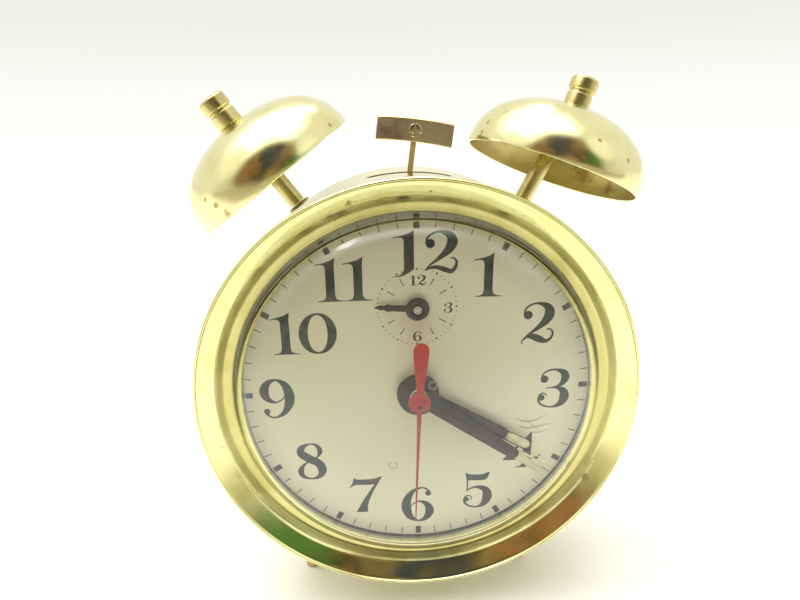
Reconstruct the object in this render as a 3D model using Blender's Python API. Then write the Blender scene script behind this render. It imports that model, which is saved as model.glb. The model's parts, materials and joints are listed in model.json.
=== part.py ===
"""Key-wound twin-bell alarm clock, modelled as the pieces it comes apart into.

Frame: metres, +Z up, +Y towards the back, the dial faces -Y. The clock stands on its three feet
at Z = 0, and the origin is under the middle of its overall box. Sizes below are in millimetres.
"""
import math

import bmesh
import bpy
from mathutils import Vector

for old in list(bpy.data.objects):
    bpy.data.objects.remove(old)

MM = 0.001
GAP = 0.3                                # clearance left between two touching pieces

# ---------------------------------------------------------------- driving dimensions, mm
# Middle of the dial's front face in the world frame.
DIAL_X = -2.1
DIAL_Y = -21.0
DIAL_Z = 65.5

# Drum, bezel and dial. A depth is measured backwards from the dial's face.
DRUM_R = 54.3
DRUM_WALL = 0.8
DRUM_FRONT = -1.1
DRUM_BACK = 43.0
BEZEL_R = 57.0
BEZEL_RIM_DEPTH = -7.6
SIGHT_R = 48.1                           # the opening that the crystal bulges through
CRYSTAL_R = 50.3
CRYSTAL_BULGE = 13.6
CRYSTAL_THICK = 1.2
DIAL_R = 50.3
DIAL_THICK = 0.6
COVER_DEPTH = 40.6
COVER_THICK = 0.8

# Movement plates and the axes of its arbors, as (across, up) from the dial's middle.
PLATE_R = 44.0
PLATE_THICK = 1.2
FRONT_PLATE = 5.2
BACK_PLATE = 31.0
PILLAR_RING = 40.0
PILLAR_ANGLES = (60, 165, 245, 335)
CENTRE = (0.0, 0.0)
ALARM_AXIS = (0.0, 23.3)
SET_REACH = 12.5                         # setting arbor to the centre, and to the alarm axis
SET_AXIS = (math.sqrt(SET_REACH ** 2 - (ALARM_AXIS[1] / 2) ** 2), ALARM_AXIS[1] / 2)
HAMMER_AXIS = (-3.6, 26.0)
PALLET_AXIS = (-13.9, 15.0)
BALANCE_AXIS = (-23.4, 20.5)
ALARM_BARREL_AXIS = (24.0, 14.0)

# Toothed wheels: tooth counts, and a module that follows from the distance between two axes.
CENTRE_PINION = 8
GREAT_TEETH = 40
GREAT_MODULE = 0.9
CENTRE_TEETH = 48
THIRD_PINION = 6
THIRD_TEETH = 45
FOURTH_PINION = 6
FOURTH_TEETH = 48
ESCAPE_PINION = 6
ESCAPE_TEETH = 15
TRAIN_MODULE = 0.45
CANNON_TEETH = 12
MINUTE_TEETH = 36
MINUTE_PINION = 10
HOUR_TEETH = 40
ALARM_GREAT_TEETH = 36
ALARM_PINION = 6
ALARM_MODULE = 0.8

# Bells, posts and hammer.
BELL_R = 25.0
BELL_HEIGHT = 18.0
BELL_WALL = 0.8
BELL_HOLE_R = 1.9
LEFT_RIM = (-36.9, 26.0, 53.3)           # middle of each bell's rim
LEFT_TILT = (37.3, 0.0)                  # lean outwards and lean backwards, degrees
RIGHT_RIM = (40.1, 26.5, 53.75)
RIGHT_TILT = (21.5, 8.0)
RIGHT_POST_TILT = 28.5                   # the right post starts steeper, then bends outwards
POST_R = 2.35
STUD_R = 1.5
HAMMER_DEPTH = 26.0
HAMMER_LEAN = 7.5                        # the rod's lean to the right, degrees
HAMMER_RISE = 40.0                       # pivot to the middle of the head
HEAD_WIDTH = 21.0
HEAD_HEIGHT = 6.2
HEAD_THICK = 4.0
ROD_WIDTH = 1.5
SLOT_HALF = 12.0

# Feet.
FOOT_REACH = 32.8
FRONT_FOOT_DEPTH = 12.0
REAR_FOOT_DEPTH = 35.0

# Where the hands point, in degrees clockwise from 12.
HOUR_ANGLE = 119.2
MINUTE_ANGLE = 125.2
SECOND_ANGLE = 182.0
ALARM_ANGLE = 273.6

# ---------------------------------------------------------------- finishes: colour, metallic, roughness
FINISHES = {
    "brass": ((0.80, 0.68, 0.30), 1.0, 0.18),
    "dull_brass": ((0.66, 0.54, 0.27), 1.0, 0.35),
    "steel": ((0.56, 0.56, 0.55), 1.0, 0.30),
    "blued_steel": ((0.16, 0.18, 0.24), 1.0, 0.30),
    "dial_card": ((0.80, 0.78, 0.66), 0.0, 0.55),
    "black_paint": ((0.06, 0.06, 0.06), 0.0, 0.45),
    "red_paint": ((0.75, 0.08, 0.06), 0.0, 0.40),
    "glass": ((0.92, 0.95, 0.93), 0.0, 0.05),
}

clock = bpy.data.objects.new("clock_axis", None)
clock.location = Vector((DIAL_X, DIAL_Y, DIAL_Z)) * MM
bpy.context.scene.collection.objects.link(clock)


# ---------------------------------------------------------------- building blocks
def finish_material(name, finish):
    colour, metallic, roughness = FINISHES[finish]
    material = bpy.data.materials.new(name)
    material.use_nodes = True
    shader = material.node_tree.nodes["Principled BSDF"]
    shader.inputs["Base Color"].default_value = (*colour, 1.0)
    shader.inputs["Metallic"].default_value = metallic
    shader.inputs["Roughness"].default_value = roughness
    return material


def place(name, bm, finish, at=(0, 0, 0), axis=None):
    """Turn a mesh in millimetres into an object at a point of the clock, its local Z along axis."""
    bmesh.ops.recalc_face_normals(bm, faces=bm.faces)
    bmesh.ops.scale(bm, vec=(MM, MM, MM), verts=bm.verts)
    mesh = bpy.data.meshes.new(name)
    bm.to_mesh(mesh)
    bm.free()
    mesh.shade_smooth()
    mesh.set_sharp_from_angle(angle=math.radians(35))
    mesh.materials.append(finish_material(name, finish))
    piece = bpy.data.objects.new(name, mesh)
    bpy.context.scene.collection.objects.link(piece)
    piece.parent = clock
    piece.location = Vector(at) * MM
    if axis:
        piece.rotation_euler = Vector(axis).to_track_quat("Z", "Y").to_euler()
    return piece


def combine(piece, others, operation="UNION"):
    """Join other solids to a piece, or cut them out of it, and drop them."""
    for other in others:
        modifier = piece.modifiers.new(operation.lower(), "BOOLEAN")
        modifier.object = other
        modifier.operation = operation
        modifier.solver = "EXACT"
    bpy.context.view_layer.update()
    evaluated = piece.evaluated_get(bpy.context.evaluated_depsgraph_get())
    mesh = bpy.data.meshes.new_from_object(evaluated)
    piece.modifiers.clear()
    piece.data = mesh
    for other in others:
        bpy.data.objects.remove(other)
    return piece


def cut(piece, cutters):
    return combine(piece, cutters, "DIFFERENCE")


def turned(profile, segments=32):
    """Solid of revolution about local Z from (radius, height) points.

    A profile that starts and ends on the axis is a full solid, and any other closes into a ring.
    """
    bm = bmesh.new()
    rings = []
    for radius, height in profile:
        count = segments if radius else 1
        angles = [2 * math.pi * i / segments for i in range(count)]
        rings.append([bm.verts.new((radius * math.cos(a), radius * math.sin(a), height)) for a in angles])
    pairs = list(zip(rings, rings[1:]))
    if profile[0][0]:
        pairs.append((rings[-1], rings[0]))
    for lower, upper in pairs:
        for i in range(segments):
            j = (i + 1) % segments
            corners = [lower[i % len(lower)], lower[j % len(lower)]]
            corners += [upper[j % len(upper)], upper[i % len(upper)]]
            bm.faces.new(list(dict.fromkeys(corners)))
    return bm


def plate(outlines, front, back):
    """Flat piece facing the dial side: (across, up) outlines, the first outer and the rest holes."""
    bm = bmesh.new()
    loops = []
    for outline in outlines:
        loop = [bm.verts.new((x, front, z)) for x, z in outline]
        for a, b in zip(loop, loop[1:] + loop[:1]):
            bm.edges.new((a, b))
        loops.append(loop)
    bmesh.ops.triangle_fill(bm, use_beauty=True, edges=bm.edges[:])
    behind = {v: bm.verts.new((v.co.x, back, v.co.z)) for v in bm.verts[:]}
    for face in bm.faces[:]:
        bm.faces.new([behind[v] for v in reversed(face.verts)])
    for loop in loops:
        for a, b in zip(loop, loop[1:] + loop[:1]):
            bm.faces.new((a, b, behind[b], behind[a]))
    return bm


def rod(points, radii, segments=12, square=False):
    """Closed rod along points, with one radius at each; its rings lie across the path."""
    bm = bmesh.new()
    path = [Vector(p) for p in points]
    count = 4 if square else segments
    rings = []
    for i, (point, radius) in enumerate(zip(path, radii)):
        before = path[max(i - 1, 0)]
        after = path[min(i + 1, len(path) - 1)]
        tangent = (after - before).normalized()
        side = tangent.cross(Vector((0, 1, 0))).normalized()
        up = side.cross(tangent)
        turn = [2 * math.pi * (k + 0.5 * square) / count for k in range(count)]
        rings.append([bm.verts.new(point + radius * (side * math.cos(t) + up * math.sin(t))) for t in turn])
    for lower, upper in zip(rings, rings[1:]):
        for i in range(count):
            j = (i + 1) % count
            bm.faces.new((lower[i], lower[j], upper[j], upper[i]))
    bm.faces.new(rings[0])
    bm.faces.new(rings[-1])
    return bm


def circle(radius, count, centre=(0, 0), start=0.0):
    angles = [start + 2 * math.pi * i / count for i in range(count)]
    return [(centre[0] + radius * math.cos(a), centre[1] + radius * math.sin(a)) for a in angles]


def gear(teeth, module, phase=0.0):
    """Outline of a toothed wheel. A tooth is narrower than its space, which leaves running backlash."""
    half_pitch = math.pi / teeth
    root = module * (teeth / 2 - 1.05)
    tip = module * (teeth / 2 + 0.5)
    outline = []
    for k in range(2 * teeth):
        radius = root if k % 2 else tip
        outline.append((radius * math.cos(phase + k * half_pitch), radius * math.sin(phase + k * half_pitch)))
    return outline


def ratchet(teeth, root, tip, lean):
    """Outline of an escape wheel: slender pointed teeth that lean one way."""
    pitch = 2 * math.pi / teeth
    outline = []
    for k in range(teeth):
        for radius, offset in ((root, -0.25), (tip, lean), (root, 0.25)):
            angle = (k + offset) * pitch
            outline.append((radius * math.cos(angle), radius * math.sin(angle)))
    return outline


def direction(start, end):
    """Angle of the line from one axis to another."""
    return math.atan2(end[1] - start[1], end[0] - start[0])


def offset_point(start, angle, distance):
    return (start[0] + distance * math.cos(angle), start[1] + distance * math.sin(angle))


def meshing_phase(phase, teeth, angle, other_teeth):
    """Phase that puts another wheel's space over this wheel's tooth, along the line at angle."""
    fraction = (angle - phase) * teeth / (2 * math.pi)
    return angle + math.pi + (fraction - 0.5) * 2 * math.pi / other_teeth


def spindle(name, finish, steps, bore=0.0, segments=12, at=CENTRE):
    """Turned arbor along Y from (depth, radius) steps, front to back, hollow when bore is given."""
    profile = []
    for (start, radius), (end, _) in zip(steps, steps[1:]):
        profile += [(radius, -start), (radius, -end)]
    profile = [(bore, -steps[0][0])] + profile + [(bore, -steps[-1][0])]
    return place(name, turned(profile, segments), finish, (at[0], 0, at[1]), (0, -1, 0))


def flat(name, finish, outlines, front, back, at=CENTRE):
    return place(name, plate(outlines, front, back), finish, (at[0], 0, at[1]))


# ---------------------------------------------------------------- axes that follow from the gearing
GREAT_REACH = GREAT_MODULE * (GREAT_TEETH + CENTRE_PINION) / 2
BARREL_AXIS = offset_point(CENTRE, math.radians(215), GREAT_REACH)
TRAIN_REACH = TRAIN_MODULE * (CENTRE_TEETH + THIRD_PINION) / 2
THIRD_AXIS = offset_point(CENTRE, 0.0, TRAIN_REACH)
THIRD_MODULE = 2 * TRAIN_REACH / (THIRD_TEETH + FOURTH_PINION)
ESCAPE_AXIS = offset_point(CENTRE, math.radians(120), TRAIN_REACH)
ALARM_REACH = ALARM_MODULE * (ALARM_GREAT_TEETH + ALARM_PINION) / 2
ALARM_ESCAPE_AXIS = offset_point(ALARM_BARREL_AXIS, math.radians(138.6), ALARM_REACH)
CANNON_MODULE = 2 * SET_REACH / (CANNON_TEETH + MINUTE_TEETH)
HOUR_MODULE = 2 * SET_REACH / (HOUR_TEETH + MINUTE_PINION)
PILLARS = [offset_point(CENTRE, math.radians(a), PILLAR_RING) for a in PILLAR_ANGLES]


# ---------------------------------------------------------------- case
def clock_ring(name, finish, profile, segments=40):
    """Ring or dish around the clock's axis from (radius, depth) points."""
    return place(name, turned([(r, -depth) for r, depth in profile], segments), finish, axis=(0, -1, 0))


def tilt_axis(lean, back):
    """Unit vector leaning outwards by lean and backwards by back, degrees."""
    out, rear = math.radians(lean), math.radians(back)
    return Vector((math.sin(out) * math.cos(rear), math.sin(rear), math.cos(out) * math.cos(rear)))


def drum_crossing(point, axis, radius):
    """Walk back along a post's axis to the cylinder of the given radius around the clock's axis."""
    across, up = axis.x, axis.z
    a = across ** 2 + up ** 2
    b = point.x * across + point.z * up
    c = point.x ** 2 + point.z ** 2 - radius ** 2
    return point - axis * (b - math.sqrt(b * b - a * c)) / a


LEFT_AXIS = tilt_axis(-LEFT_TILT[0], LEFT_TILT[1])
RIGHT_AXIS = tilt_axis(*RIGHT_TILT)
LEFT_BASE = drum_crossing(Vector(LEFT_RIM), LEFT_AXIS, DRUM_R)
RIGHT_POST_AXIS = tilt_axis(RIGHT_POST_TILT, 2.0)
RIGHT_BASE = Vector((31.4, 26.0, math.sqrt(DRUM_R ** 2 - 31.4 ** 2)))
WASHER_R = 3.5
WASHER_THICK = 0.8
WASHER_LIFT = 0.85                       # a flat washer under a leaning post clears the round drum

FOOT_R = 2.7
FOOT_TIP_R = 2.1
FOOT_PLACES = {
    "foot_left": (-FOOT_REACH, FRONT_FOOT_DEPTH),
    "foot_right": (FOOT_REACH, FRONT_FOOT_DEPTH),
    "foot_rear": (0.0, REAR_FOOT_DEPTH),
}


def foot_path(across, depth):
    """Points of a foot from its stud inside the drum down to the table, along a radius of the drum."""
    sole = Vector((across, depth, -DIAL_Z))
    outward = Vector((across, 0, -DIAL_Z)).normalized()
    hub = Vector((0, depth, 0))
    shoulder = hub + outward * (DRUM_R + 0.45)
    return hub + outward * (DRUM_R - 3.0), shoulder, sole


def make_case():
    rear_lip = 50.2
    profile = [(DRUM_R, DRUM_FRONT), (DRUM_R, DRUM_BACK), (rear_lip, DRUM_BACK),
               (rear_lip, DRUM_BACK - DRUM_WALL), (DRUM_R - DRUM_WALL, DRUM_BACK - DRUM_WALL),
               (DRUM_R - DRUM_WALL, DRUM_FRONT)]
    drum = clock_ring("case_drum", "brass", profile, 56)
    cutters = []
    slot = plate([[(-SLOT_HALF, 48), (SLOT_HALF, 48), (SLOT_HALF, 58), (-SLOT_HALF, 58)]],
                 HAMMER_DEPTH - 1.7, HAMMER_DEPTH + 1.7)
    cutters.append(place("cut_slot", slot, "brass"))
    for base, axis in ((LEFT_BASE, LEFT_AXIS), (RIGHT_BASE, RIGHT_POST_AXIS)):
        hole = rod([base - axis * 4, base + axis * 4], [STUD_R + 0.5] * 2)
        cutters.append(place("cut_post", hole, "brass"))
    for across, depth in FOOT_PLACES.values():
        stud, shoulder, _ = foot_path(across, depth)
        hole = rod([stud, shoulder + (shoulder - stud)], [STUD_R + 0.4] * 2)
        cutters.append(place("cut_foot", hole, "brass"))
    cut(drum, cutters)


def make_bezel():
    rim = BEZEL_RIM_DEPTH
    sleeve = DRUM_R + 0.35
    back = DRUM_FRONT - 0.35
    profile = [(sleeve, 3.5), (55.3, 3.5), (55.7, rim + 2.0), (56.6, rim + 1.1), (BEZEL_R, rim + 0.1),
               (56.7, rim - 0.6), (56.1, rim - 0.5), (55.8, rim + 0.1), (52.8, -5.5), (49.9, -3.1),
               (49.2, -2.6), (SIGHT_R, back - 0.3), (SIGHT_R, back), (sleeve, back)]
    clock_ring("bezel", "brass", profile)


def make_crystal():
    t = CRYSTAL_THICK
    top = -CRYSTAL_BULGE
    shoulder = SIGHT_R - 0.6
    back = -0.35
    profile = [(0, top), (20, top + 0.5), (35, top + 2.0), (43.2, top + 4.4), (46.6, top + 8.0),
               (shoulder, back - 0.8), (CRYSTAL_R, back - 0.8), (CRYSTAL_R, back), (shoulder - t, back),
               (45.4, top + 8.2), (42.2, top + 5.2), (34.5, top + 3.1), (20, top + 0.5 + t), (0, top + t)]
    clock_ring("crystal", "glass", profile, 36)


def make_dial():
    holes = [circle(DIAL_R, 48), circle(3.4, 12), circle(1.4, 8, ALARM_AXIS)]
    flat("dial", "dial_card", holes, 0.0, DIAL_THICK)


REGULATOR_REACH = 12.0
REGULATOR_SWING = 15.0
SHUTOFF_HEIGHT = 36.0
SHUTOFF_TRAVEL = 6.0
ARBOR_R = 2.2                            # winding arbors
SET_ARBOR_R = 0.8
ALARM_ARBOR_R = 1.0


def arc_slot(centre, reach, swing, half_width):
    """Curved slot around centre, open over twice the swing, straight up from the centre."""
    sweep = [math.radians(90 + swing * (k / 3 - 1)) for k in range(7)]
    inner = [offset_point(centre, a, reach - half_width) for a in sweep]
    outer = [offset_point(centre, a, reach + half_width) for a in reversed(sweep)]
    return inner + outer


def make_back_cover():
    half = SHUTOFF_TRAVEL / 2 + 1.8
    shutoff = [(-half, SHUTOFF_HEIGHT - 1.8), (half, SHUTOFF_HEIGHT - 1.8),
               (half, SHUTOFF_HEIGHT + 1.8), (-half, SHUTOFF_HEIGHT + 1.8)]
    outlines = [circle(DRUM_R - DRUM_WALL - 0.4, 48), shutoff]
    outlines += [circle(ARBOR_R + 0.5, 10, BARREL_AXIS), circle(ARBOR_R + 0.5, 10, ALARM_BARREL_AXIS)]
    outlines += [circle(SET_ARBOR_R + 0.5, 8, SET_AXIS), circle(ALARM_ARBOR_R + 0.5, 8, ALARM_AXIS)]
    outlines += [circle(1.4, 8, pillar) for pillar in PILLARS]
    outlines.append(arc_slot(BALANCE_AXIS, REGULATOR_REACH, REGULATOR_SWING + 8, 1.6))
    flat("back_cover", "brass", outlines, COVER_DEPTH, COVER_DEPTH + COVER_THICK)


def make_feet():
    for name, (across, depth) in FOOT_PLACES.items():
        stud, shoulder, sole = foot_path(across, depth)
        bm = rod([stud, shoulder, shoulder, sole], [STUD_R, STUD_R, FOOT_R, FOOT_TIP_R])
        bm.verts.ensure_lookup_table()
        for vert in bm.verts[-12:]:
            vert.co.z = -DIAL_Z                     # the sole is cut level with the table
        place(name, bm, "dull_brass")


# ---------------------------------------------------------------- bells
def bell_profile(wall_points=7):
    """Shell section from the crown hole out over the dome to the rim and back inside."""
    def curve(radius, height, hole):
        start = math.asin(min(1.0, (1 - (hole / radius) ** 2.3) ** (1 / 2.3)) ** 1.15)
        points = []
        for k in range(wall_points):
            angle = start * (1 - k / (wall_points - 1))
            points.append((radius * math.cos(angle) ** (2 / 2.3), height * math.sin(angle) ** (2 / 2.3)))
        return points
    outer = curve(BELL_R, BELL_HEIGHT, BELL_HOLE_R)
    inner = curve(BELL_R - BELL_WALL, BELL_HEIGHT - BELL_WALL, BELL_HOLE_R)
    return outer + inner[::-1]


def make_bells():
    nut = [(0, 8.9), (3.4, 8.9), (3.85, 8.4), (3.85, 4.9), (3.3, 4.5), (3.3, 4.0), (3.55, 3.7), (3.55, GAP),
           (STUD_R + GAP, GAP), (STUD_R + GAP, 3.3), (0, 3.3)]
    for side, rim, axis in (("left", LEFT_RIM, LEFT_AXIS), ("right", RIGHT_RIM, RIGHT_AXIS)):
        crown = Vector(rim) + axis * BELL_HEIGHT
        place("bell_" + side, turned(bell_profile(), 32), "brass", rim, axis)
        place("bell_nut_" + side, turned(nut, 16), "dull_brass", crown, axis)
        underside = Vector(rim) + axis * (BELL_HEIGHT - BELL_WALL - GAP)
        tip = crown + axis * 3.0
        if side == "left":
            base, start, bend = LEFT_BASE, LEFT_AXIS, []
        else:
            base, start = RIGHT_BASE, RIGHT_POST_AXIS
            bend = [base + start * 12.0, underside - axis * 4.5]
        foot = base + start * (WASHER_LIFT + WASHER_THICK + GAP)
        path = [base - start * 3.0, foot, foot] + bend + [underside, underside, tip]
        radii = [STUD_R, STUD_R] + [POST_R] * (len(bend) + 2) + [STUD_R] * 2
        place("bell_post_" + side, rod(path, radii), "dull_brass")
        washer = [(STUD_R + GAP, 0), (WASHER_R, 0), (WASHER_R, WASHER_THICK), (STUD_R + GAP, WASHER_THICK)]
        place("post_washer_" + side, turned(washer, 16), "dull_brass", base + start * WASHER_LIFT, start)


# ---------------------------------------------------------------- hammer
def make_hammer():
    lean = math.radians(HAMMER_LEAN)
    pivot = (HAMMER_AXIS[0], 0, HAMMER_AXIS[1])
    across = Vector((math.cos(lean), 0, -math.sin(lean)))
    along = Vector((math.sin(lean), 0, math.cos(lean)))
    head_low = HAMMER_RISE - HEAD_HEIGHT / 2

    def head_point(u, v):
        point = across * u + along * v
        return point.x, point.z

    steps = [k / 4 - 1 for k in range(9)]
    arch = 0.5
    top = [head_point(s * HEAD_WIDTH / 2, HAMMER_RISE + HEAD_HEIGHT / 2 - arch * s * s) for s in steps]
    low = [head_point(s * HEAD_WIDTH / 2, head_low - arch * s * s) for s in reversed(steps)]
    front = HAMMER_DEPTH - HEAD_THICK / 2
    flat("hammer_head", "dull_brass", [top + low], front, HAMMER_DEPTH + HEAD_THICK / 2, HAMMER_AXIS)

    screw = turned([(0, 1.3), (1.3, 1.3), (1.85, 0.8), (1.85, 0), (0, 0)], 16)
    middle = Vector(pivot) + along * HAMMER_RISE
    screw = place("hammer_screw", screw, "dull_brass", (middle.x, front - GAP, middle.z), (0, -1, 0))
    groove = plate([[(-0.35, -3), (0.35, -3), (0.35, 3), (-0.35, 3)]], front - GAP - 2.0, front - GAP - 0.7)
    cut(screw, [place("cut_groove", groove, "dull_brass", (middle.x, 0, middle.z))])

    start = Vector((0, HAMMER_DEPTH, 0))
    wire = rod([start + along * 2.6, start + along * (head_low - GAP)], [ROD_WIDTH / math.sqrt(2)] * 2, square=True)
    place("hammer_rod", wire, "dull_brass", pivot)

    arbor = spindle("hammer_arbor", "steel", [(5.4, 0.8), (24.6, 2.2), (27.6, 0.8), (33.0, 0)], at=HAMMER_AXIS)
    star = (ALARM_ESCAPE_AXIS[0] - HAMMER_AXIS[0], ALARM_ESCAPE_AXIS[1] - HAMMER_AXIS[1])
    aim = math.atan2(star[1], star[0])
    fork = [(-0.2, 1.7), (-0.2, -0.6), (0.38, -0.6), (0.58, -7.4), (0.92, -7.4), (0.92, -6.8), (0.66, -6.5),
            (0.5, -0.6), (0.5, 0.8), (0.62, 6.5), (0.92, 6.8), (0.92, 7.4), (0.55, 7.4), (0.28, 1.7)]
    reach = math.hypot(*star)
    outline = []
    for u, v in fork:
        x, z = u * reach, v
        outline.append((x * math.cos(aim) - z * math.sin(aim), x * math.sin(aim) + z * math.cos(aim)))
    combine(arbor, [flat("verge", "steel", [outline], 29.2, 30.0, HAMMER_AXIS)])


# ---------------------------------------------------------------- dial furniture: hands
def pointing(outline, degrees):
    """Turn an outline drawn along +up so that it points clockwise by degrees."""
    a = math.radians(degrees)
    return [(x * math.cos(a) + z * math.sin(a), z * math.cos(a) - x * math.sin(a)) for x, z in outline]


def hand_outline(hub, root_half, shoulder, shoulder_half, tip, tip_half):
    """Round hub that runs into a tapering blade."""
    start = math.asin(root_half / hub)
    sweep = 2 * math.pi - 2 * start
    arc = [(math.sin(start + sweep * k / 14), math.cos(start + sweep * k / 14)) for k in range(15)]
    disc = [(hub * x, hub * z) for x, z in arc]
    blade = [(-shoulder_half, shoulder), (-tip_half, tip), (tip_half, tip), (shoulder_half, shoulder)]
    return disc + blade


def make_hands():
    hour = hand_outline(5.6, 2.2, 27.0, 1.7, 35.2, 1.3)
    flat("hour_hand", "black_paint", [pointing(hour, HOUR_ANGLE), circle(3.2, 12)], -2.6, -2.2)
    minute = hand_outline(5.4, 2.4, 32.0, 1.5, 43.4, 0.6)
    flat("minute_hand", "black_paint", [pointing(minute, MINUTE_ANGLE), circle(2.4, 12)], -4.2, -3.8)
    tail = [(-0.9, -2.4), (-1.7, -10.0), (-1.9, -14.0), (-1.2, -15.9), (0.0, -16.4),
            (1.2, -15.9), (1.9, -14.0), (1.7, -10.0), (0.9, -2.4)]
    hub = [offset_point(CENTRE, math.radians(a), 2.7) for a in (-40, -10, 20, 50, 75)]
    needle = [(0.45, 4.0), (0.2, 35.4), (-0.2, 35.4), (-0.45, 4.0)]
    mirrored = [(-x, z) for x, z in reversed(hub)]
    second = tail + hub + needle + mirrored
    flat("second_hand", "red_paint", [pointing(second, SECOND_ANGLE), circle(0.9, 10)], -8.0, -7.6)
    collar = [(0.45, 6.6), (0.9, 7.0), (0.9, 7.8), (0.5, 8.2), (0.55, 9.0), (0.1, 11.0)]
    alarm = [(-x, z) for x, z in collar[::-1]]
    arc = [math.radians(100 + 340 * k / 12) for k in range(13)]
    alarm += [(3.0 * math.cos(a), 3.0 * math.sin(a)) for a in arc] + collar
    flat("alarm_hand", "black_paint", [pointing(alarm, ALARM_ANGLE), circle(1.3, 10)], -2.1, -1.7, ALARM_AXIS)


# ---------------------------------------------------------------- movement frame
def make_plates():
    pivots = [SET_AXIS, THIRD_AXIS, ESCAPE_AXIS, PALLET_AXIS, BALANCE_AXIS, ALARM_ESCAPE_AXIS, HAMMER_AXIS]
    holes = [circle(SET_ARBOR_R + GAP + 0.2, 6, pivot) for pivot in pivots]
    holes += [circle(ARBOR_R + GAP + 0.1, 8, barrel) for barrel in (BARREL_AXIS, ALARM_BARREL_AXIS)]
    holes += [circle(ALARM_ARBOR_R + GAP + 0.1, 8, ALARM_AXIS)]
    holes += [circle(1.6, 8, pillar) for pillar in PILLARS]
    disc = circle(PLATE_R, 32)
    flat("front_plate", "steel", [disc, circle(1.8, 10)] + holes, FRONT_PLATE, FRONT_PLATE + PLATE_THICK)
    flat("back_plate", "steel", [disc, circle(1.0, 8)] + holes, BACK_PLATE, BACK_PLATE + PLATE_THICK)
    inside = (FRONT_PLATE + PLATE_THICK + GAP, BACK_PLATE - GAP)
    end = COVER_DEPTH - GAP
    body = [(0, -(FRONT_PLATE - 0.3)), (1.2, -(FRONT_PLATE - 0.3)), (1.2, -inside[0]), (2.0, -inside[0]),
            (2.0, -inside[1]), (1.25, -inside[1]), (1.25, -33.0), (2.0, -33.0), (2.0, -end), (1.2, -end),
            (1.2, -(end - 3.5)), (0, -(end - 3.5))]
    screw = [(0, -43.0), (2.2, -43.0), (2.6, -42.6), (2.6, -41.7), (0.9, -41.7), (0.9, -38.0), (0, -38.0)]
    for number, pillar in enumerate(PILLARS, start=1):
        at = (pillar[0], 0, pillar[1])
        place("pillar_%d" % number, turned(body, 8), "dull_brass", at, (0, -1, 0))
        place("cover_screw_%d" % number, turned(screw, 8), "steel", at, (0, -1, 0))


# ---------------------------------------------------------------- going train and motion work
def wheel(name, finish, arbor, toothed, at):
    """Arbor with toothed discs on it: toothed holds (outlines, front, back)."""
    discs = [flat(name + "_disc", finish, outlines, front, back, at) for outlines, front, back in toothed]
    return combine(arbor, discs)


def make_train():
    to_barrel = direction(CENTRE, BARREL_AXIS)
    to_third = direction(CENTRE, THIRD_AXIS)
    to_escape = direction(CENTRE, ESCAPE_AXIS)
    tube = spindle("center_wheel", "brass", [(-3.0, 1.3), (12.6, 0)], bore=0.9, segments=12)
    pinion = gear(CENTRE_PINION, GREAT_MODULE, to_barrel)
    blank = gear(CENTRE_TEETH, TRAIN_MODULE, to_third)
    wheel("center_wheel", "brass", tube, [([pinion, circle(1.1, 12)], 9.0, 12.4),
                                          ([blank, circle(1.1, 12)], 7.4, 8.2)], CENTRE)

    great = gear(GREAT_TEETH, GREAT_MODULE, meshing_phase(to_barrel, CENTRE_PINION, to_barrel, GREAT_TEETH))
    flat("time_great_wheel", "brass", [great, circle(ARBOR_R + GAP, 16)], 10.2, 11.4, BARREL_AXIS)

    arbor = spindle("third_wheel", "steel", [(5.4, 0.5), (32.0, 0)], at=THIRD_AXIS)
    pinion = gear(THIRD_PINION, TRAIN_MODULE, meshing_phase(to_third, CENTRE_TEETH, to_third, THIRD_PINION))
    back_to_centre = to_third + math.pi
    blank = gear(THIRD_TEETH, THIRD_MODULE, back_to_centre)
    wheel("third_wheel", "brass", arbor, [([pinion], 7.0, 8.6), ([blank], 13.6, 14.4)], THIRD_AXIS)

    arbor = spindle("fourth_wheel", "steel", [(-9.9, 0.6), (32.6, 0)])
    phase = meshing_phase(back_to_centre, THIRD_TEETH, back_to_centre, FOURTH_PINION)
    pinion = gear(FOURTH_PINION, THIRD_MODULE, phase)
    blank = gear(FOURTH_TEETH, TRAIN_MODULE, to_escape)
    wheel("fourth_wheel", "brass", arbor, [([pinion], 13.0, 15.0), ([blank], 23.0, 23.8)], CENTRE)

    arbor = spindle("escape_wheel", "steel", [(5.4, 0.5), (32.0, 0)], at=ESCAPE_AXIS)
    phase = meshing_phase(to_escape, FOURTH_TEETH, to_escape, ESCAPE_PINION)
    pinion = gear(ESCAPE_PINION, TRAIN_MODULE, phase)
    star = ratchet(ESCAPE_TEETH, 4.9, 6.5, 0.1)
    wheel("escape_wheel", "brass", arbor, [([pinion], 22.4, 24.4), ([star], 19.0, 19.8)], ESCAPE_AXIS)


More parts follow.
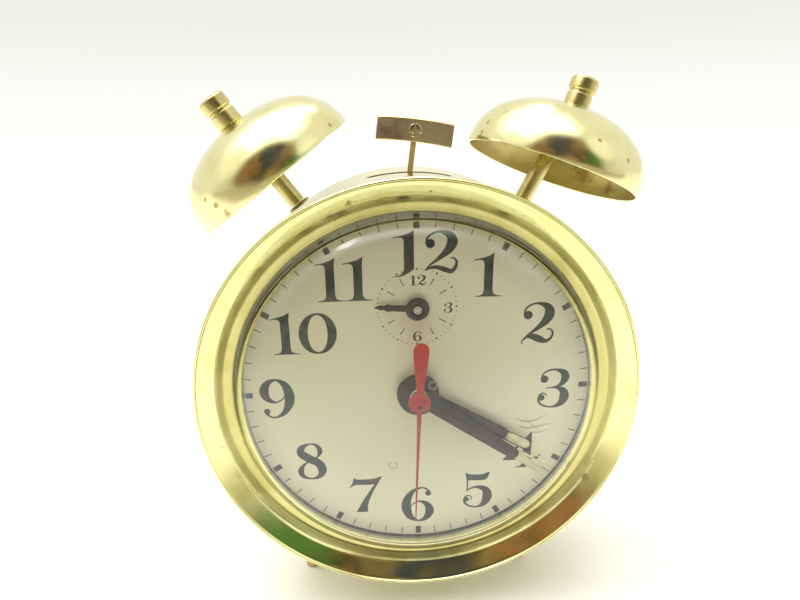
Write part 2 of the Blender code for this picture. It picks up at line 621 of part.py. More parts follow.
def make_motion_work():
    to_set = direction(CENTRE, SET_AXIS)
    cannon = gear(CANNON_TEETH, CANNON_MODULE, to_set)
    tube = spindle("cannon_pinion", "steel", [(-4.8, 2.1), (4.6, 0)], bore=1.6, segments=12)
    wheel("cannon_pinion", "steel", tube, [([cannon, circle(1.85, 12)], 3.6, 4.5)], CENTRE)

    arbor = spindle("minute_wheel", "steel", [(1.3, SET_ARBOR_R), (46.0, 0)], at=SET_AXIS)
    blank = gear(MINUTE_TEETH, CANNON_MODULE, meshing_phase(to_set, CANNON_TEETH, to_set, MINUTE_TEETH))
    back = to_set + math.pi
    pinion = gear(MINUTE_PINION, HOUR_MODULE, back)
    wheel("minute_wheel", "brass", arbor, [([blank], 3.7, 4.5), ([pinion], 1.6, 3.4)], SET_AXIS)

    tube = spindle("hour_wheel", "brass", [(-2.9, 2.9), (3.0, 0)], bore=2.4, segments=14)
    blank = gear(HOUR_TEETH, HOUR_MODULE, meshing_phase(back, MINUTE_PINION, back, HOUR_TEETH))
    wheel("hour_wheel", "brass", tube, [([blank, circle(2.65, 14)], 2.0, 2.9)], CENTRE)

    to_alarm = direction(SET_AXIS, ALARM_AXIS)
    blank = gear(HOUR_TEETH, HOUR_MODULE, meshing_phase(back, MINUTE_PINION, to_alarm, HOUR_TEETH))
    flat("alarm_wheel", "brass", [blank, circle(ALARM_ARBOR_R + GAP, 12)], 2.0, 2.9, ALARM_AXIS)


def make_alarm_train():
    to_star = direction(ALARM_BARREL_AXIS, ALARM_ESCAPE_AXIS)
    great = gear(ALARM_GREAT_TEETH, ALARM_MODULE, to_star)
    flat("alarm_great_wheel", "brass", [great, circle(ARBOR_R + GAP, 16)], 24.4, 25.6, ALARM_BARREL_AXIS)
    arbor = spindle("alarm_escape_wheel", "steel", [(5.4, 0.6), (32.0, 0)], at=ALARM_ESCAPE_AXIS)
    pinion = gear(ALARM_PINION, ALARM_MODULE, meshing_phase(to_star, ALARM_GREAT_TEETH, to_star, ALARM_PINION))
    star = ratchet(ESCAPE_TEETH, 4.5, 6.0, -0.1)
    wheel("alarm_escape_wheel", "brass", arbor, [([pinion], 23.8, 26.2), ([star], 28.0, 28.8)],
          ALARM_ESCAPE_AXIS)


def spiral(inner, outer, turns, thickness, steps_per_turn=12):
    """Outline of a flat coiled strip."""
    count = int(turns * steps_per_turn)
    near, far = [], []
    for k in range(count + 1):
        radius = inner + (outer - inner) * k / count
        angle = 2 * math.pi * k / steps_per_turn
        near.append((radius * math.cos(angle), radius * math.sin(angle)))
        far.append(((radius + thickness) * math.cos(angle), (radius + thickness) * math.sin(angle)))
    return near + far[::-1]


def make_springs():
    flat("time_mainspring", "blued_steel", [spiral(3.0, 13.8, 4, 0.7)], 12.6, 21.0, BARREL_AXIS)
    flat("alarm_mainspring", "blued_steel", [spiral(3.0, 12.2, 4, 0.7)], 15.2, 23.4, ALARM_BARREL_AXIS)
    flat("hairspring", "blued_steel", [spiral(1.6, 5.8, 3, 0.25)], 17.2, 17.8, BALANCE_AXIS)


def make_escapement():
    staff = spindle("balance_wheel", "brass", [(5.4, 0.5), (32.0, 0)], at=BALANCE_AXIS)
    hole = 7.6
    windows = []
    for k in range(3):
        start = 2 * math.pi * k / 3
        sweep = [start + 0.22 + (2 * math.pi / 3 - 0.44) * j / 5 for j in range(6)]
        rim = [(hole * math.cos(a), hole * math.sin(a)) for a in sweep]
        middle = start + math.pi / 3
        windows.append(rim + [(2.3 * math.cos(middle), 2.3 * math.sin(middle))])
    rim = [circle(9.0, 24)] + windows
    wheel("balance_wheel", "brass", staff, [(rim, 15.0, 16.2)], BALANCE_AXIS)

    to_escape = direction(PALLET_AXIS, ESCAPE_AXIS)
    to_balance = direction(PALLET_AXIS, BALANCE_AXIS)
    anchor = [offset_point(CENTRE, to_escape + s, r) for s, r in
              ((-1.15, 1.6), (-0.95, 6.9), (-0.78, 7.3), (-0.70, 6.6), (-0.60, 1.6),
               (0.60, 1.6), (0.70, 6.6), (0.78, 7.3), (0.95, 6.9), (1.15, 1.6))]
    lever = [offset_point(CENTRE, to_balance + s, r) for s, r in
             ((-0.9, 1.5), (-0.09, 4.0), (-0.14, 9.2), (-0.06, 8.4), (0.06, 8.4), (0.14, 9.2), (0.09, 4.0),
              (0.9, 1.5))]
    arbor = spindle("pallet_lever", "steel", [(5.4, 0.5), (32.0, 0)], at=PALLET_AXIS)
    wheel("pallet_lever", "steel", arbor, [([anchor + lever], 20.4, 21.2)], PALLET_AXIS)


# ---------------------------------------------------------------- what the owner turns and pushes
def make_winders():
    for side, axis in (("time", BARREL_AXIS), ("alarm", ALARM_BARREL_AXIS)):
        spindle(side + "_winding_arbor", "steel", [(5.4, ARBOR_R), (48.5, 0)], at=axis, segments=14)
        sleeve = [(0, -51.5), (3.4, -51.5), (3.7, -51.0), (3.7, -43.6), (ARBOR_R + GAP, -43.6),
                  (ARBOR_R + GAP, -48.8), (0, -48.8)]
        at = (axis[0], 0, axis[1])
        key = place(side + "_key", turned(sleeve, 14), "dull_brass", at, (0, -1, 0))
        lobe = [(4.0 * math.cos(a) + 6.5, 3.6 * math.sin(a)) for a in
                [math.radians(-120 + 30 * k) for k in range(9)]]
        outline = lobe + [(-x, z) for x, z in reversed(lobe)]
        wings = place("wings", plate([outline], -0.8, 0.8), "dull_brass", (axis[0], 52.0, axis[1]), (0, 1, 0))
        combine(key, [wings])


def knob_profile(reach):
    return [(0, -51.0), (3.6, -51.0), (4.7, -50.4), (4.9, -48.6), (4.9, -46.0), (2.6, -45.2), (2.6, -43.6),
            (reach + GAP, -43.6), (reach + GAP, -46.4), (0, -46.4)]


def make_knobs():
    for name, axis, reach in (("time_set_knob", SET_AXIS, SET_ARBOR_R),
                              ("alarm_set_knob", ALARM_AXIS, ALARM_ARBOR_R)):
        at = (axis[0], 0, axis[1])
        place(name, turned(knob_profile(reach), 14), "dull_brass", at, (0, -1, 0))
    spindle("alarm_set_arbor", "steel", [(-2.9, ALARM_ARBOR_R), (46.0, 0)], at=ALARM_AXIS)


def make_levers():
    eye = circle(2.6, 12, start=0.3)
    arm = [(-0.9, 2.0), (0.9, 2.0), (0.9, REGULATOR_REACH + 0.9), (-0.9, REGULATOR_REACH + 0.9)]
    lever = flat("regulator_lever", "steel", [eye, circle(0.9, 8)], 33.0, 33.8, BALANCE_AXIS)
    bar = flat("arm", "steel", [arm], 33.05, 33.75, BALANCE_AXIS)
    tab = [(-0.8, REGULATOR_REACH - 0.9), (0.8, REGULATOR_REACH - 0.9),
           (0.8, REGULATOR_REACH + 0.8), (-0.8, REGULATOR_REACH + 0.8)]
    combine(lever, [bar, flat("tab", "steel", [tab], 33.1, 44.6, BALANCE_AXIS)])

    start = (-SHUTOFF_TRAVEL / 2, SHUTOFF_HEIGHT)
    bar = [(-6.5, -2.6), (6.5, -2.6), (6.5, 2.6), (-6.5, 2.6)]
    slider = flat("alarm_shutoff", "dull_brass", [bar], 38.6, 39.8, start)
    stem = spindle("stem", "dull_brass", [(39.0, 1.4), (43.6, 3.0), (45.4, 2.4), (46.0, 0)], at=start, segments=14)
    combine(slider, [stem])


make_case()
make_bezel()
make_crystal()
make_dial()
make_back_cover()
make_feet()
make_bells()
make_hammer()
make_hands()
make_plates()
make_train()
make_motion_work()
make_alarm_train()
make_springs()
make_escapement()
make_winders()
make_knobs()
make_levers()
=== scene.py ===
"""Looks of a key-wound twin-bell alarm clock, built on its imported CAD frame.

Places are in millimetres in the clock's own axes: X to the right, Y backwards and Z up from the
middle of the dial's face, unless a line says otherwise.
"""

import json
import math

import bmesh
import bpy
from mathutils import Matrix, Vector


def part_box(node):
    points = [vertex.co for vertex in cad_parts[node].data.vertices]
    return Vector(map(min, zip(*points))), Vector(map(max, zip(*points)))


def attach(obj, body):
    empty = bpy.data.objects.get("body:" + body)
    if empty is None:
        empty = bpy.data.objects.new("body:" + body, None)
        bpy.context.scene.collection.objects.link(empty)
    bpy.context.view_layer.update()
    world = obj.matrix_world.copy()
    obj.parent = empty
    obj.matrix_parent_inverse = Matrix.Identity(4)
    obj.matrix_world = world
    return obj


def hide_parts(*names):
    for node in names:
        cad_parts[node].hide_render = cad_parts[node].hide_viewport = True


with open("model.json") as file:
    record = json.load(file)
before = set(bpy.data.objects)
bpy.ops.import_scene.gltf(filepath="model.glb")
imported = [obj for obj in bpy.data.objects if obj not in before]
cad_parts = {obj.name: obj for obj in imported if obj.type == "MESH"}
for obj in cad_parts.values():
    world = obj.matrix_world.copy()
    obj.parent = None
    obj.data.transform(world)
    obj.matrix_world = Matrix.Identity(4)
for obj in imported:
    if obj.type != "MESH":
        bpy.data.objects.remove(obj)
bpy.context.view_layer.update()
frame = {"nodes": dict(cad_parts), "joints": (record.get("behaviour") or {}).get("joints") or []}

MM = 0.001
dial_low, dial_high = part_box("dial")
DIAL = Vector(((dial_low.x + dial_high.x) / 2, dial_low.y, (dial_low.z + dial_high.z) / 2))
PIVOT = {j["name"]: (Vector(j["pos_m"]) - DIAL) / MM for j in frame["joints"] if "pos_m" in j}
TABLE_HEIGHT = -DIAL.z / MM
FRONT = (0, -1, 0)
BACKWARD = (0, 1, 0)
CREASE = math.radians(35)


def edge(node, axis, side):
    """Where a CAD node ends along an axis, in clock millimetres: side 0 is its low end, 1 its high end."""
    return (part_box(node)[side][axis] - DIAL[axis]) / MM


# ---------------------------------------------------------------- node materials
class Surface:
    """A Principled material whose colour, roughness and relief come from procedural patterns."""

    def __init__(self, name, metallic=0.0, roughness=0.4, **constants):
        self.material = bpy.data.materials.new(name)
        self.material.use_nodes = True
        self.tree = self.material.node_tree
        self.shader = self.tree.nodes["Principled BSDF"]
        self.shader.inputs["Metallic"].default_value = metallic
        self.shader.inputs["Roughness"].default_value = roughness
        for socket, value in constants.items():
            self.shader.inputs[socket.replace("_", " ")].default_value = value
        self.place = self.node("ShaderNodeTexCoord").outputs["Object"]

    def node(self, kind, **settings):
        made = self.tree.nodes.new(kind)
        for key, value in settings.items():
            setattr(made, key, value)
        return made

    def link(self, source, socket):
        self.tree.links.new(source, socket)

    def feed(self, socket, value):
        if isinstance(value, bpy.types.NodeSocket):
            self.link(value, socket)
        else:
            socket.default_value = value

    def stretched(self, scale, turn=(0, 0, 0)):
        mapping = self.node("ShaderNodeMapping")
        mapping.inputs["Scale"].default_value = scale
        mapping.inputs["Rotation"].default_value = turn
        self.link(self.place, mapping.inputs["Vector"])
        return mapping.outputs["Vector"]

    def noise(self, size, detail=3.0, place=None, roughness=0.55):
        """Cloudy pattern from 0 to 1 whose patches measure about size millimetres."""
        made = self.node("ShaderNodeTexNoise")
        made.inputs["Scale"].default_value = 1 / (size * MM)
        made.inputs["Detail"].default_value = detail
        made.inputs["Roughness"].default_value = roughness
        self.link(place or self.place, made.inputs["Vector"])
        return made.outputs["Fac"]

    def specks(self, spacing, radius):
        """1 inside small scattered dots and 0 between them, both sizes in millimetres."""
        cells = self.node("ShaderNodeTexVoronoi")
        cells.inputs["Scale"].default_value = 1 / (spacing * MM)
        self.link(self.place, cells.inputs["Vector"])
        edge_at = radius / spacing
        return self.band(cells.outputs["Distance"], edge_at, edge_at * 0.6)

    def distance(self, place):
        """How far the surface is from a place in clock millimetres, in metres."""
        made = self.node("ShaderNodeVectorMath", operation="DISTANCE")
        self.link(self.place, made.inputs[0])
        made.inputs[1].default_value = DIAL + Vector(place) * MM
        return made.outputs["Value"]

    def axis_distance(self):
        """How far the surface is from the clock's own axis, in metres."""
        across = self.node("ShaderNodeVectorMath", operation="MULTIPLY_ADD")
        self.link(self.place, across.inputs[0])
        across.inputs[1].default_value = (1, 0, 1)
        across.inputs[2].default_value = (-DIAL.x, 0, -DIAL.z)
        made = self.node("ShaderNodeVectorMath", operation="LENGTH")
        self.link(across.outputs["Vector"], made.inputs[0])
        return made.outputs["Value"]

    def band(self, value, start, end):
        """Runs smoothly from 0 at start to 1 at end."""
        made = self.node("ShaderNodeMapRange", interpolation_type="SMOOTHSTEP")
        made.inputs["From Min"].default_value = start
        made.inputs["From Max"].default_value = end
        self.feed(made.inputs["Value"], value)
        return made.outputs["Result"]

    def math(self, operation, a, b=0.0):
        made = self.node("ShaderNodeMath", operation=operation)
        self.feed(made.inputs[0], a)
        self.feed(made.inputs[1], b)
        return made.outputs["Value"]

    def span(self, value, low, high):
        """Maps 0..1 to low..high."""
        made = self.node("ShaderNodeMapRange")
        made.inputs["To Min"].default_value = low
        made.inputs["To Max"].default_value = high
        self.feed(made.inputs["Value"], value)
        return made.outputs["Result"]

    def mix(self, factor, first, second):
        made = self.node("ShaderNodeMix", data_type="RGBA")
        self.feed(made.inputs["Factor"], factor)
        for socket, colour in ((made.inputs[6], first), (made.inputs[7], second)):
            self.feed(socket, colour if isinstance(colour, bpy.types.NodeSocket) else (*colour, 1.0))
        return made.outputs[2]

    def colour(self, value):
        self.feed(self.shader.inputs["Base Color"], value)

    def rough(self, value):
        self.feed(self.shader.inputs["Roughness"], value)

    def relief(self, height, depth):
        """Bump whose full height is depth millimetres."""
        made = self.node("ShaderNodeBump")
        made.inputs["Distance"].default_value = depth * MM
        self.link(height, made.inputs["Height"])
        self.link(made.outputs["Normal"], self.shader.inputs["Normal"])


DULL_BRIGHT = (0.70, 0.65, 0.27)
DULL_SHADE = (0.56, 0.50, 0.18)


def brass(name, bright, shade, spot, gloss, speck, tarnish, dents=0.03, soiled=(), dull=0.0):
    """Polished brass: patches of shade in the bright colour, dark specks, wiping marks and dents.

    Soiled lists (x, y, z, radius) places, in clock millimetres, that hands or damp have turned brown.
    Within the radius dull, in millimetres from the clock's own axis, the polish has gone.
    """
    s = Surface(name, metallic=1.0)
    patches = s.band(s.noise(9, 5), 0.42, 0.72)
    tone = s.mix(s.math("MULTIPLY", patches, tarnish), bright, shade)
    small = s.specks(2.6, speck * 1.6)
    sparse = s.band(s.noise(7, 2), 0.52, 0.62)
    stains = s.band(s.noise(3.2, 6, roughness=0.7), 0.66, 0.74)
    marks = s.math("MAXIMUM", s.math("MULTIPLY", small, sparse), s.math("MULTIPLY", stains, 0.55))
    if soiled:
        ragged = s.noise(1.6, 6, roughness=0.75)
        for x, y, z, radius in soiled:
            size = radius * MM
            blurred = s.math("ADD", s.distance((x, y, z)), s.math("MULTIPLY", ragged, size * 2.2))
            near = s.band(blurred, size * 2.1, size * 1.2)
            marks = s.math("MAXIMUM", marks, s.math("MULTIPLY", near, 0.8))
    tone = s.mix(marks, tone, spot)
    inside = 0.0
    if dull:
        blurred = s.math("ADD", s.axis_distance(), s.math("MULTIPLY", s.noise(2.4, 5), 0.8 * MM))
        inside = s.band(blurred, (dull + 0.6) * MM, (dull - 0.2) * MM)
        tone = s.mix(inside, tone, s.mix(patches, DULL_BRIGHT, DULL_SHADE))
    s.colour(tone)
    wiping = s.noise(0.5, 2, s.stretched((1.0, 1.0, 0.06), (0.3, 0.4, 0.2)))
    cloud = s.noise(5, 4)
    base = s.span(s.math("MULTIPLY", cloud, wiping), gloss[0], gloss[1] + 0.25)
    worn = s.math("MAXIMUM", s.math("MULTIPLY", marks, 0.5), s.math("MULTIPLY", inside, 0.26))
    s.rough(s.math("MAXIMUM", base, worn))
    waves = s.math("ADD", s.noise(14, 1), s.math("MULTIPLY", wiping, 0.006))
    s.relief(s.math("SUBTRACT", waves, s.math("MULTIPLY", marks, 0.05)), dents)
    return s.material


def plain_metal(name, bright, shade, gloss=(0.2, 0.45)):
    """Turned or rolled metal with fine lines along its grain and faint blotches."""
    grain = (1.0, 0.05, 1.0)
    s = Surface(name, metallic=1.0)
    lines = s.noise(0.25, 2, s.stretched(grain))
    blotch = s.band(s.noise(4, 4), 0.35, 0.75)
    s.colour(s.mix(s.math("MULTIPLY", blotch, 0.7), bright, shade))
    s.rough(s.span(s.math("MULTIPLY", lines, s.span(blotch, 0.7, 1.3)), *gloss))
    s.relief(lines, 0.01)
    return s.material


def paint(name, base, worn, gloss, blotch, grain=0.15, relief=0.01, shine=0.5):
    """Paint or ink with slow changes of tone and a fine grain."""
    s = Surface(name, roughness=gloss, Specular_IOR_Level=shine)
    slow = s.band(s.noise(blotch, 4), 0.3, 0.75)
    fine = s.noise(grain, 2)
    s.colour(s.mix(s.math("MULTIPLY", slow, s.span(fine, 0.6, 1.4)), base, worn))
    s.rough(s.span(fine, gloss - 0.08, gloss + 0.1))
    s.relief(fine, relief)
    return s.material


def dial_paint():
    """Silvery cream dial: a fine sparkle, painted light that makes the colour paler further from a point left
    of and above the middle, mostly towards the right and lower rim, and a few age marks.
    """
    s = Surface("dial_silver", metallic=0.25, roughness=0.5)
    fine = s.noise(0.12, 2)
    slow = s.band(s.noise(22, 3), 0.3, 0.7)
    tone = s.mix(slow, (0.87, 0.815, 0.60), (0.83, 0.775, 0.56))
    # Painted light: the colour pales from 20 to 50 mm away from a point left of and above the middle, standing
    # in for light at the right and lower rim.
    outer = s.band(s.distance((-10, 0, 8)), 20 * MM, 50 * MM)
    tone = s.mix(outer, tone, (0.99, 0.94, 0.74))
    tone = s.mix(s.span(fine, 0.0, 0.25), tone, (0.94, 0.90, 0.72))
    marks = s.math("MULTIPLY", s.specks(9, 0.35), s.band(s.noise(11, 1), 0.55, 0.6))
    s.colour(s.mix(s.math("MULTIPLY", marks, 0.6), tone, (0.42, 0.36, 0.22)))
    s.rough(s.span(fine, 0.42, 0.58))
    s.relief(fine, 0.004)
    return s.material


def crystal_glass():
    """Clear dome with a few faint scratches. Lamps shine through it onto the dial."""
    s = Surface("crystal_clear", roughness=0.0, Transmission_Weight=1.0, IOR=1.45, Specular_IOR_Level=0.4)
    s.shader.inputs["Base Color"].default_value = (0.97, 0.985, 0.97, 1.0)
    scratch = s.noise(0.4, 1, s.stretched((1.0, 1.0, 0.02), (0.5, 0.2, 0.9)))
    hair = s.band(scratch, 0.76, 0.82)
    s.rough(s.span(hair, 0.004, 0.12))
    clear = s.node("ShaderNodeBsdfTransparent")
    clear.inputs["Color"].default_value = (0.95, 0.965, 0.94, 1.0)
    lamp = s.node("ShaderNodeLightPath").outputs["Is Shadow Ray"]
    either = s.node("ShaderNodeMixShader")
    s.link(lamp, either.inputs[0])
    s.link(s.shader.outputs[0], either.inputs[1])
    s.link(clear.outputs[0], either.inputs[2])
    s.link(either.outputs[0], s.tree.nodes["Material Output"].inputs["Surface"])
    return s.material


# Soiled places: (x, y, z, radius).
BEZEL_STAINS = [(-38, -4, 34, 2.6), (-44, -5, 26, 1.6), (-20, -4, 47, 2.8), (-9, -4, 50, 2.2),
                (-16, -6, 51, 1.2), (46, -5, -26, 1.5), (-51, -6, -12, 1.2), (30, -6, -44, 1.2),
                (3, -6, 53, 0.9), (25, -6, 47, 0.8)]
BELL_STAINS = [(-48.9, 4.5, 49.4, 1.3), (-46.0, 3.4, 47.5, 1.7), (-52.0, 6.6, 50.6, 0.8),
               (-20.7, 13.6, 67.7, 0.8), (20.6, 19.5, 67.6, 1.0), (19.0, 19.3, 65.1, 1.3),
               (45.5, 4.5, 63.4, 0.9), (41.8, 14.0, 71.4, 0.8), (53.7, 6.3, 58.3, 1.0),
               (24.7, 16.7, 70.1, 0.9)]
LINING_STAINS = [(56, 44, 51, 5.0), (48, 47, 56, 3.0), (61, 36, 47, 3.0), (33, 46, 62, 2.0)]
BEZEL_BRASS = brass("bezel_brass", (0.90, 0.86, 0.42), (0.80, 0.75, 0.31), (0.28, 0.17, 0.06),
                    (0.04, 0.11), 0.10, 0.8, soiled=BEZEL_STAINS, dull=52.0)
BELL_BRASS = brass("bell_brass", (0.86, 0.80, 0.43), (0.76, 0.69, 0.31), (0.32, 0.19, 0.06),
                   (0.09, 0.18), 0.10, 0.7, soiled=BELL_STAINS)
DRUM_BRASS = brass("drum_brass", (0.90, 0.83, 0.52), (0.78, 0.69, 0.38), (0.32, 0.20, 0.08),
                   (0.14, 0.28), 0.12, 0.8)
COVER_BRASS = brass("cover_brass", (0.74, 0.66, 0.36), (0.56, 0.46, 0.21), (0.30, 0.19, 0.08),
                    (0.16, 0.32), 0.14, 1.0)
TRIM_BRASS = brass("trim_brass", (0.66, 0.57, 0.25), (0.46, 0.37, 0.13), (0.20, 0.12, 0.05),
                   (0.20, 0.34), 0.08, 0.9, 0.01)
# Hammer head brass: partly tarnish, and partly a painted reflection of the dim room in front, which its flat
# face mirrors, so it is much darker than the other brass.
HAMMER_TARNISH_AND_PAINTED_REFLECTION = brass("hammer_brass_tarnish_and_painted_reflection", (0.50, 0.44, 0.28), (0.28, 0.17, 0.16), (0.14, 0.08, 0.05),
                   (0.07, 0.18), 0.12, 1.0)
LINING_BRASS = brass("bell_lining", (0.66, 0.56, 0.24), (0.52, 0.42, 0.15), (0.28, 0.16, 0.06),
                     (0.34, 0.45), 0.14, 0.8, soiled=LINING_STAINS)
WHEEL_BRASS = plain_metal("wheel_brass", (0.74, 0.60, 0.28), (0.56, 0.43, 0.18))
STEEL = plain_metal("plain_steel", (0.60, 0.60, 0.58), (0.42, 0.42, 0.41))
PALE_METAL = plain_metal("pale_metal", (0.74, 0.70, 0.60), (0.50, 0.46, 0.38), (0.15, 0.35))
DULL_METAL = plain_metal("dull_metal", (0.34, 0.31, 0.25), (0.20, 0.18, 0.14), (0.35, 0.5))
BLUED = plain_metal("blued_steel", (0.12, 0.15, 0.24), (0.20, 0.16, 0.12))
DIAL_PAINT = dial_paint()
INK = paint("dial_ink", (0.05, 0.06, 0.048), (0.10, 0.115, 0.095), 0.5, 3.0, shine=0.3)
FAINT_INK = paint("dial_ink_faint", (0.15, 0.15, 0.12), (0.24, 0.24, 0.20), 0.5, 3.0)
HAND_BLACK = paint("hand_black", (0.020, 0.016, 0.011), (0.055, 0.042, 0.026), 0.38, 4.0, shine=0.3)
ALARM_BLACK = paint("alarm_hand_black", (0.02, 0.02, 0.02), (0.05, 0.05, 0.045), 0.35, 3.0)
RED = paint("hand_red", (0.62, 0.03, 0.025), (0.48, 0.04, 0.03), 0.4, 4.0, shine=0.3)
LUME = paint("luminous_cream", (0.96, 0.93, 0.62), (0.78, 0.72, 0.40), 0.7, 2.2, 0.3, 0.08)
STAIN = paint("lume_stain", (0.70, 0.62, 0.36), (0.60, 0.50, 0.28), 0.6, 2.0)
DARK = paint("inner_dark", (0.03, 0.028, 0.02), (0.05, 0.045, 0.03), 0.6, 4.0)
GLASS = crystal_glass()


# ---------------------------------------------------------------- building blocks
def piece(name, bm, material, body, replaces=()):
    """Turn a mesh in clock millimetres into a shown piece that rides on a body."""
    bmesh.ops.transform(bm, matrix=Matrix.Translation(DIAL) @ Matrix.Scale(MM, 4), verts=bm.verts)
    mesh = bpy.data.meshes.new(name)
    bm.to_mesh(mesh)
    bm.free()
    mesh.shade_smooth()
    mesh.set_sharp_from_angle(angle=CREASE)
    mesh.materials.append(material)
    made = bpy.data.objects.new(name, mesh)
    bpy.context.scene.collection.objects.link(made)
    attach(made, body)
    if replaces:
        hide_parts(*replaces)
    return made


def joined(*parts):
    """One bmesh holding several."""
    whole = bmesh.new()
    for part in parts:
        scratch = bpy.data.meshes.new("scratch")
        part.to_mesh(scratch)
        part.free()
        whole.from_mesh(scratch)
        bpy.data.meshes.remove(scratch)
    return whole


def softened(profile):
    """Round the corners of a profile: a corner given as (radius, height, fillet) becomes an arc."""
    steps = 4
    points = []
    last = len(profile) - 1
    for i, (radius, height, *fillet) in enumerate(profile):
        here = Vector((radius, height))
        if not fillet or i in (0, last):
            points.append(here)
            continue
        ends = []
        for other in (profile[i - 1], profile[i + 1]):
            away = Vector(other[:2]) - here
            ends.append(here + away.normalized() * min(fillet[0], away.length * 0.45))
        for k in range(steps + 1):
            t = k / steps
            points.append(ends[0].lerp(here, t).lerp(here.lerp(ends[1], t), t))
    return points


def turned(profile, segments, at=(0, 0, 0), axis=FRONT):
    """Surface of revolution from (radius, height) points along axis; one off the axis closes to a ring."""
    on_axis = 1e-6
    bm = bmesh.new()
    rings = []
    for radius, height in profile:
        count = segments if radius > on_axis else 1
        turns = [2 * math.pi * i / segments for i in range(count)]
        rings.append([bm.verts.new((radius * math.cos(t), radius * math.sin(t), height)) for t in turns])
    pairs = list(zip(rings, rings[1:]))
    if profile[0][0] > on_axis:
        pairs.append((rings[-1], rings[0]))
    for lower, upper in pairs:
        for i in range(segments):
            j = (i + 1) % segments
            corners = [lower[i % len(lower)], lower[j % len(lower)]]
            corners += [upper[j % len(upper)], upper[i % len(upper)]]
            corners = list(dict.fromkeys(corners))
            if len(corners) > 2:
                bm.faces.new(corners)
    bmesh.ops.recalc_face_normals(bm, faces=bm.faces)
    turn = Vector(axis).to_track_quat("Z", "Y").to_matrix().to_4x4()
    bmesh.ops.transform(bm, matrix=Matrix.Translation(at) @ turn, verts=bm.verts)
    return bm


def ring(profile, segments):
    """Ring or dish round the clock's own axis from (radius, depth) points, rounded where they say so."""
    flipped = [(p[0], -p[1], *p[2:]) for p in profile]
    return turned(softened(flipped), segments)


def slab(outlines, front, back):
    """Flat piece facing the dial side: (across, up) outlines, the first outer and the rest holes."""
    bm = bmesh.new()
    loops = []
    for outline in outlines:
        loop = [bm.verts.new((x, front, z)) for x, z in outline]
        for a, b in zip(loop, loop[1:] + loop[:1]):
            bm.edges.new((a, b))
        loops.append(loop)
    bmesh.ops.triangle_fill(bm, use_beauty=True, edges=bm.edges[:])
    behind = {v: bm.verts.new((v.co.x, back, v.co.z)) for v in bm.verts[:]}
    for face in bm.faces[:]:
        bm.faces.new([behind[v] for v in reversed(face.verts)])
    for loop in loops:
        for a, b in zip(loop, loop[1:] + loop[:1]):
            bm.faces.new((a, b, behind[b], behind[a]))
    bmesh.ops.recalc_face_normals(bm, faces=bm.faces)
    return bm


def tube(points, radii, segments):
    """Round rod along points, with one radius at each."""
    bm = bmesh.new()
    path = [Vector(p) for p in points]
    rings = []
    for i, (point, radius) in enumerate(zip(path, radii)):
        tangent = (path[min(i + 1, len(path) - 1)] - path[max(i - 1, 0)]).normalized()
        side = tangent.cross(Vector((0, 1, 0))).normalized()
        up = side.cross(tangent)
        turns = [2 * math.pi * k / segments for k in range(segments)]
        rings.append([bm.verts.new(point + radius * (side * math.cos(t) + up * math.sin(t))) for t in turns])
    for lower, upper in zip(rings, rings[1:]):
        for i in range(segments):
            j = (i + 1) % segments
            bm.faces.new((lower[i], lower[j], upper[j], upper[i]))
    bm.faces.new(rings[0])
    bm.faces.new(rings[-1])
    bmesh.ops.recalc_face_normals(bm, faces=bm.faces)
    return bm


def bevelled(made, width, segments):
    """Round a piece's sharp edges by width millimetres."""
    modifier = made.modifiers.new("bevel", "BEVEL")
    modifier.width = width * MM
    modifier.segments = segments
    modifier.limit_method = "ANGLE"
    modifier.angle_limit = math.radians(40)
    return made


def carved(made, *cutters):
    """Cut solids out of a piece."""
    for bm in cutters:
        cutter_mesh = bpy.data.meshes.new("cutter")
        bmesh.ops.transform(bm, matrix=Matrix.Translation(DIAL) @ Matrix.Scale(MM, 4), verts=bm.verts)
        bm.to_mesh(cutter_mesh)
        bm.free()
        cutter = bpy.data.objects.new("cutter", cutter_mesh)
        bpy.context.scene.collection.objects.link(cutter)
        modifier = made.modifiers.new("cut", "BOOLEAN")
        modifier.object = cutter
        modifier.operation = "DIFFERENCE"
        modifier.solver = "EXACT"
        bpy.context.view_layer.update()
        result = bpy.data.meshes.new_from_object(made.evaluated_get(bpy.context.evaluated_depsgraph_get()))
        made.modifiers.clear()
        made.data = result
        bpy.data.objects.remove(cutter)
    made.data.shade_smooth()
    made.data.set_sharp_from_angle(angle=CREASE)
    return made


def circle(radius, count, centre=(0, 0), start=0.0, sweep=2 * math.pi):
    """Points on a whole circle, or on an arc of it with both its ends."""
    whole = abs(sweep - 2 * math.pi) < 1e-9
    turns = [start + sweep * k / (count if whole else count - 1) for k in range(count)]
    return [(centre[0] + radius * math.cos(t), centre[1] + radius * math.sin(t)) for t in turns]


def rectangle(x, z, half_width, half_height):
    """Outline of a rectangle round a centre."""
    return [(x - half_width, z - half_height), (x + half_width, z - half_height),
            (x + half_width, z + half_height), (x - half_width, z + half_height)]


def clockwise(point, degrees):
    """Turn a point drawn along +up so that it lies clockwise of 12 by degrees."""
    a = math.radians(degrees)
    return (point[0] * math.cos(a) + point[1] * math.sin(a), point[1] * math.cos(a) - point[0] * math.sin(a))


def smooth_path(points, steps, closed=False):
    """Catmull-Rom curve through points of any number of values."""
    count = len(points)
    spans = count if closed else count - 1
    path = []
    for i in range(spans):
        if closed:
            p = [points[(i + k - 1) % count] for k in range(4)]
        else:
            p = [points[min(max(i + k - 1, 0), count - 1)] for k in range(4)]
        for k in range(steps):
            t = k / steps
            path.append(tuple(0.5 * (2 * b + (c - a) * t + (2 * a - 5 * b + 4 * c - d) * t * t
                                     + (3 * b - a - 3 * c + d) * t ** 3) for a, b, c, d in zip(*p)))
    if not closed:
        path.append(tuple(points[-1]))
    return path


